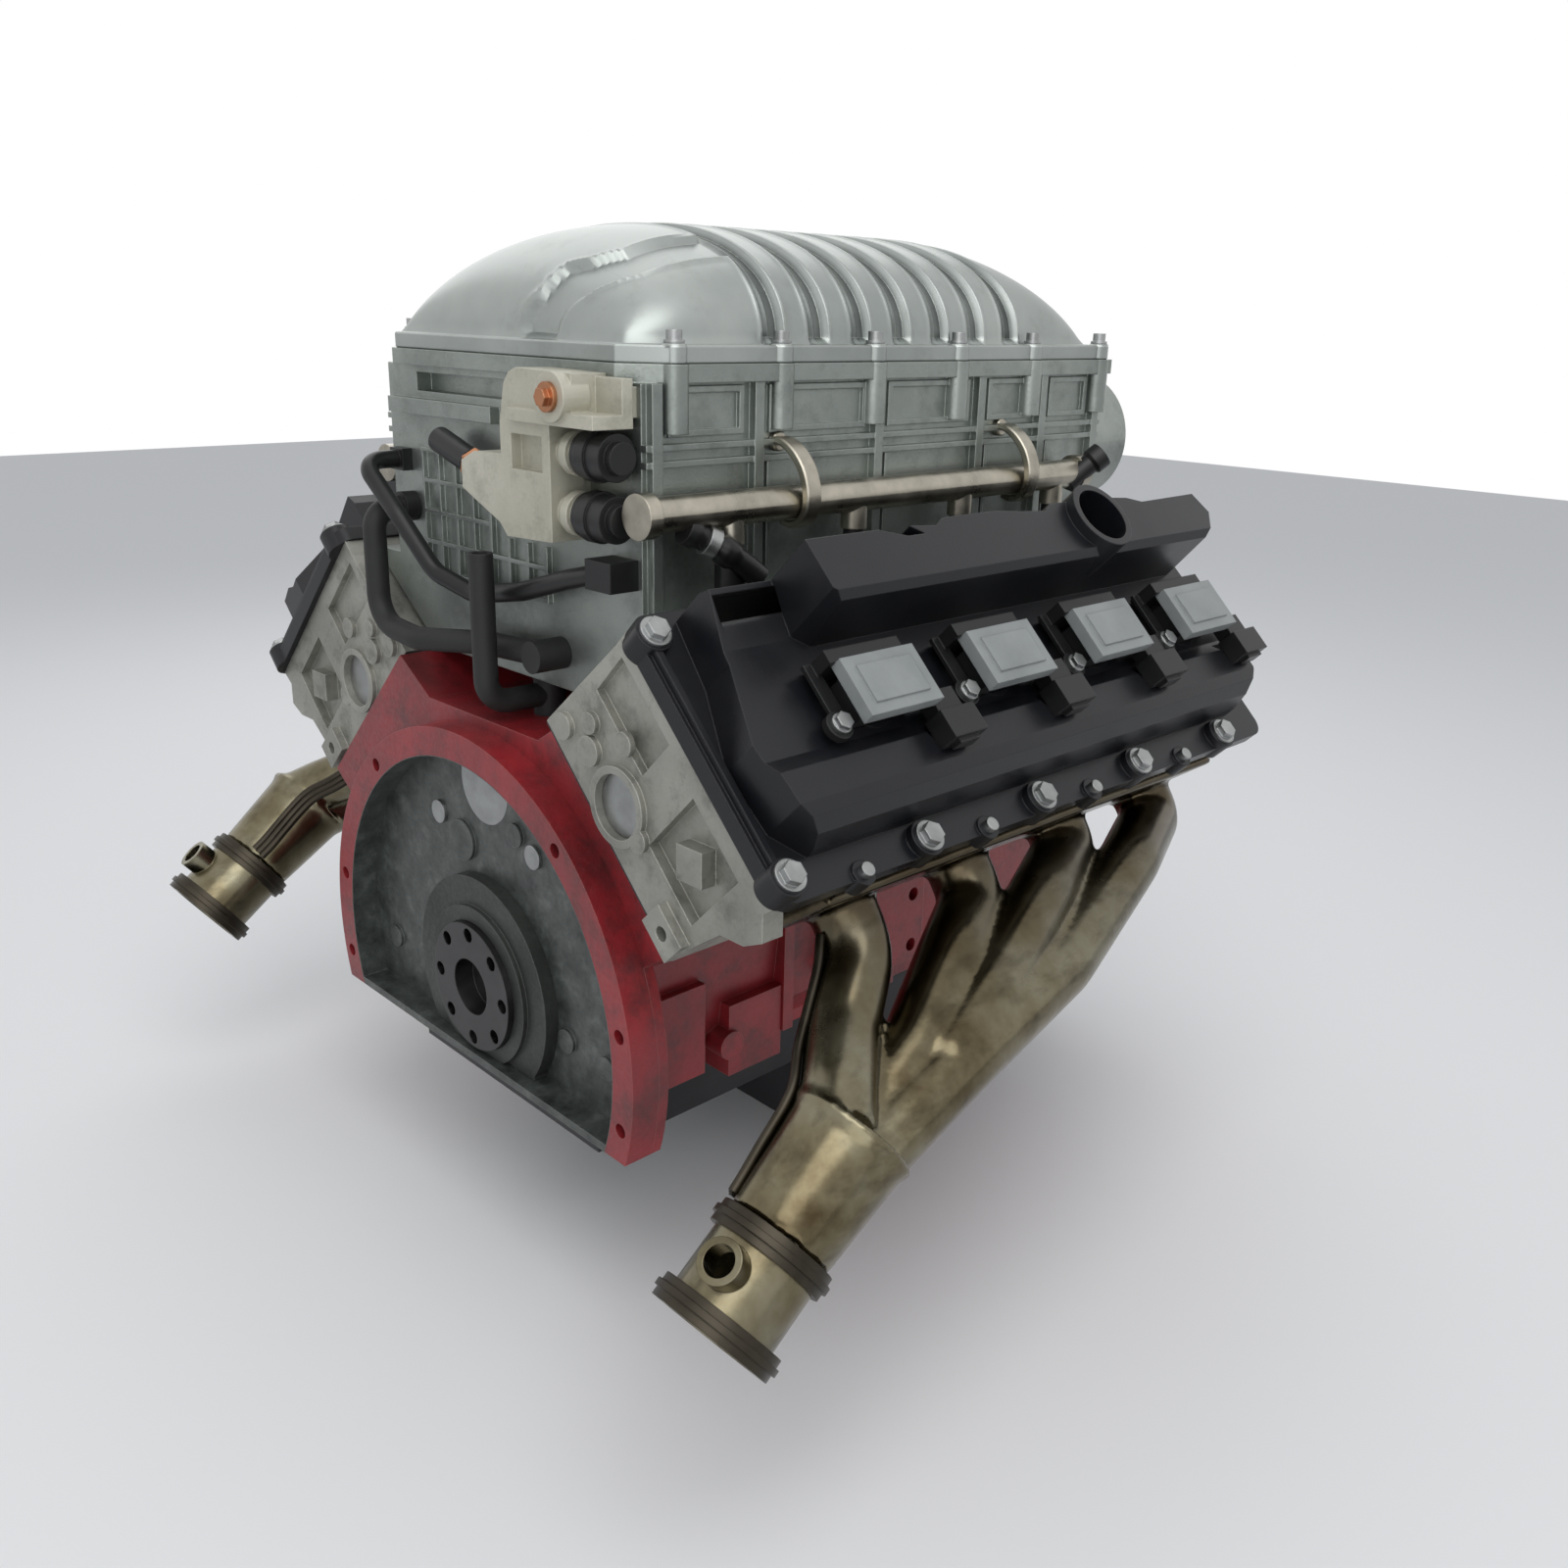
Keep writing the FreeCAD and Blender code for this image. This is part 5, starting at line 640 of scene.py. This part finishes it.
def lid_dome(shape):
    """The dome, as a fine grid pushed along its own normals by the bands and the channel."""
    columns = 132
    foot_flare, flare_height = 2.4, 7
    grid = [dome_row(place, columns) for place in lid_places()]
    pushed = []
    for n, row in enumerate(grid):
        line = []
        for column, point in enumerate(row):
            ahead = grid[min(n + 1, len(grid) - 1)][column] - grid[max(n - 1, 0)][column]
            beside = row[min(column + 1, columns)] - row[max(column - 1, 0)]
            normal = beside.cross(ahead)
            normal = -normal.normalized() if normal.z < 0 else normal.normalized()
            above = point.z - LID_FOOT
            moved = point + normal * lid_relief(point.x, point.y) * ease(above, 0.4, 5.0)
            flare = Vector((normal.x, normal.y, 0)) * foot_flare * max(0.0, 1 - above / flare_height) ** 2
            line.append(moved + flare)
        pushed.append(line)
    first = len(shape.points)
    shape.skin(pushed)
    width = columns + 1
    last = first + (len(pushed) - 1) * width
    rim = list(range(first, first + width))
    rim += [first + n * width + columns for n in range(1, len(pushed))]
    rim += list(range(last + columns - 1, last - 1, -1))
    rim += [first + n * width for n in range(len(pushed) - 2, 0, -1)]
    shape.faces.append(tuple(rim))


def lid_flange(shape):
    """The bolting flange: bevelled rear corners and a round boss for each bolt."""
    half, rear, front, bevel = 156.0, 46.0, 529.0, 26.0
    boss = 8
    right = [(half - bevel, rear), (half, rear + bevel - 3)]
    for spot in LID_BOLTS:
        for degrees in range(-60, 61, 15):
            turn = math.radians(degrees)
            right.append((LID_BOLT_ROW + boss * math.cos(turn), spot + boss * math.sin(turn)))
    right += [(half, front - 5), (half - 1.5, front - 1.5), (half - 5, front)]
    outline = right + [(-across, place) for across, place in reversed(right)]
    shape.slab(outline, *FLANGE_LEVELS, 1.0)
    washer = ((0, 7.6), (1.6, 7.6), (2.2, 7.0))
    washer_foot = 460.8
    for side in (1, -1):
        for spot in LID_BOLTS:
            shape.turned(washer, (LID_BOLT_ROW * side, spot, washer_foot), (0, 0, 1), 20)


def supercharger_lid():
    """The lid in full relief, in place of its plainer solid."""
    shape = Shape()
    lid_dome(shape)
    lid_flange(shape)
    shape.piece("lid_in_relief", LID_SILVER, 30, ("supercharger_lid",))


# ---- fuel rails -------------------------------------------------------------------------------


def rail_hooks():
    """Curved hooks that hold the rails to the housing, each with its bolt boss."""
    shape = Shape()
    bend = ((151, 402), (158, 403), (166, 400), (174, 394), (181, 385), (185, 374), (185, 363), (180, 354),
            (171, 350.5), (162, 352))
    middle = smooth_line([(across, 0, up) for across, up in bend], 5)
    outer, inner = [], []
    for n, point in enumerate(middle):
        ahead = middle[min(n + 1, len(middle) - 1)] - middle[max(n - 1, 0)]
        normal = Vector((ahead.z, 0, -ahead.x)).normalized()
        thick = 2.0 + 1.1 * math.sin(math.pi * n / (len(middle) - 1))
        outer.append(point - normal * thick)
        inner.append(point + normal * thick)
    band = [(point.x, point.z) for point in outer + inner[::-1]]
    boss = ((0, 6.5), (3.5, 6.5), (4.3, 5.6))
    width = 13
    for side, shift in BANKS:
        outline = [(across * side, up) for across, up in band]
        for place in (155.0 + shift, 390.0 + shift):
            shape.slab(outline, place, place + width, 1.0, across=True)
            shape.turned(boss, (150.5 * side, place + width / 2, 402), (side, 0, 0), 20)
    shape.piece("rail_hooks", RAIL, 35, ("rail_clamps",))


def rear_swell(share):
    """Radius of the rear connector along its way: two collars on a slimmer body."""
    return 9.6 if share < 0.16 or 0.45 < share < 0.62 else 7.9


def ahead_swell(share):
    """Radius of the front connector along its way: a wider mouth."""
    return 10.4 if share > 0.72 else 8.2


def rail_fittings():
    """Ferrules at the rail's ends and black connectors that leave it at both ends."""
    metal = Shape()
    black = Shape()
    ferrule = ((0, 11.6), (0.8, 12.6), (7.2, 12.6), (8, 11.6))
    rear = ((171, 66, 355), (175, 84, 346), (181, 102, 334), (186, 116, 322))
    ahead = ((172, 462, 357), (178, 474, 368), (186, 487, 380))
    collar = ((174, 80, 348), (175.4, 84, 346), (176.6, 87, 344.4))
    for side, shift in BANKS:
        for place in (34.0, 470.0):
            metal.turned(ferrule, (170 * side, place + shift, 365), (0, 1, 0))
        black.tube(on_bank(rear, side, shift), rear_swell)
        black.tube(on_bank(ahead, side, shift), ahead_swell)
        metal.tube(on_bank(collar, side, shift), 9.9)
    metal.piece("rail_ferrules", ZINC)
    black.piece("rail_connectors", BLACK)


# ---- exhaust ----------------------------------------------------------------------------------


def flowing_manifold(side):
    """The manifold's tubes run into each other with soft fillets instead of creases."""
    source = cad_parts["exhaust_manifold_" + side]
    made = source.copy()
    made.data = source.data.copy()
    made.name = "flowing_manifold_" + side
    bpy.context.scene.collection.objects.link(made)
    world = source.matrix_world.copy()
    made.parent = None
    made.matrix_world = world
    remesh = made.modifiers.new("remesh", "REMESH")
    remesh.mode = "VOXEL"
    remesh.voxel_size = 2.5 * MM
    soften = made.modifiers.new("soften", "SMOOTH")
    soften.factor = 0.5
    soften.iterations = 7
    bpy.context.view_layer.update()
    graph = bpy.context.evaluated_depsgraph_get()
    mesh = bpy.data.meshes.new_from_object(made.evaluated_get(graph))
    made.modifiers.clear()
    made.data = mesh
    for face in mesh.polygons:
        face.use_smooth = True
    mesh.materials.clear()
    mesh.materials.append(HEADER)
    for key in list(made.keys()):
        del made[key]
    settle(made, ("exhaust_manifold_" + side,))


SEAM_ROUTE = ((281, 84, 114), (291, 72, 99), (302, 53, 81), (313, 35, 67), (326, 19, 56), (330, 7, 46),
              (331, -10, 31), (332, -24, 18), (333, -34, 10))


def header_seams():
    """A dark triple seam down the rear edge of each manifold, from the port flange to the clamp band."""
    seam = Shape()
    for side, shift in BANKS:
        for spread in (-4.6, 0.0, 4.6):
            route = [(x + spread * 0.45, y - spread * 0.42, z + spread * 0.79) for x, y, z in SEAM_ROUTE]
            seam.tube(on_bank(route, side, shift), 3.1, 10)
    seam.piece("header_seams", BAND)


supercharger_lid()
rail_hooks()
rail_fittings()
for bank in ("right", "left"):
    flowing_manifold(bank)
header_seams()


# ---- studio and camera ------------------------------------------------------------------------

# Name, place and size in metres, power in watts.
LAMPS = (
    ("key", (1.1, -0.5, 1.9), 2.0, 24),
    ("fill", (1.7, -1.5, 0.5), 1.8, 9),
    ("back", (-1.2, 0.9, 1.5), 2.2, 10),
)
LAMP_TARGET = Vector((0, 0.25, 0.2))
CAMERA_PLACE = (0.8298, -0.4863, 0.4841)
CAMERA_ANGLES = (45.7, 18.8, 1.4)  # azimuth, elevation and roll in degrees


def studio():
    """A pale floor, the backdrop and three soft lamps."""
    low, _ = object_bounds()
    bpy.ops.mesh.primitive_plane_add(size=12, location=(0, 0, low.z - 0.5 * MM))
    floor = bpy.context.object
    floor.name = "studio_floor"
    surface = Surface("studio_floor")
    surface.finish((0.80, 0.80, 0.80), 0.9, 0.0)
    floor.data.materials.append(surface.material)
    backdrop()
    for name, place, size, power in LAMPS:
        lamp(name, place, size, power)


def backdrop():
    """A world that is white where it is seen or mirrored, and cooler and dimmer as light."""
    world = bpy.data.worlds.new("studio_world")
    bpy.context.scene.world = world
    world.use_nodes = True
    nodes = world.node_tree.nodes
    links = world.node_tree.links
    background = nodes["Background"]
    background.inputs["Color"].default_value = (0.92, 0.95, 1.0, 1)
    background.inputs["Strength"].default_value = 0.55
    white = nodes.new("ShaderNodeBackground")
    white.inputs["Color"].default_value = (1, 1, 1, 1)
    white.inputs["Strength"].default_value = 1.0
    path = nodes.new("ShaderNodeLightPath")
    blend = nodes.new("ShaderNodeMixShader")
    seen = path.outputs["Is Camera Ray"]
    for other in ("Is Glossy Ray", "Is Transmission Ray"):
        either = nodes.new("ShaderNodeMath")
        either.operation = "MAXIMUM"
        links.new(seen, either.inputs[0])
        links.new(path.outputs[other], either.inputs[1])
        seen = either.outputs["Value"]
    links.new(seen, blend.inputs["Fac"])
    links.new(background.outputs["Background"], blend.inputs[1])
    links.new(white.outputs["Background"], blend.inputs[2])
    links.new(blend.outputs["Shader"], nodes["World Output"].inputs["Surface"])


def lamp(name, place, size, power):
    """An area lamp aimed at the engine's middle."""
    data = bpy.data.lights.new(name, "AREA")
    data.shape = "DISK"
    data.size = size
    data.energy = power
    light = bpy.data.objects.new(name, data)
    bpy.context.scene.collection.objects.link(light)
    light.location = place
    aim = LAMP_TARGET - Vector(place)
    light.rotation_euler = aim.to_track_quat("-Z", "Y").to_euler()


def camera():
    """The view from the right rear, a little above."""
    azimuth, elevation, roll = (math.radians(degrees) for degrees in CAMERA_ANGLES)
    back = Vector((math.sin(azimuth) * math.cos(elevation), -math.cos(azimuth) * math.cos(elevation),
                   math.sin(elevation)))
    level = (-back).cross(Vector((0, 0, 1))).normalized()
    rise = level.cross(-back)
    right = level * math.cos(roll) + rise * math.sin(roll)
    up = rise * math.cos(roll) - level * math.sin(roll)
    data = bpy.data.cameras.new("camera")
    data.sensor_width = 36.0
    data.lens = 32.05
    data.clip_start = 0.01
    view = bpy.data.objects.new("camera", data)
    bpy.context.scene.collection.objects.link(view)
    turn = Matrix((right, up, back)).transposed().to_4x4()
    view.matrix_world = Matrix.Translation(CAMERA_PLACE) @ turn
    bpy.context.scene.camera = view


camera()
studio()
bpy.context.scene.view_settings.view_transform = "Standard"
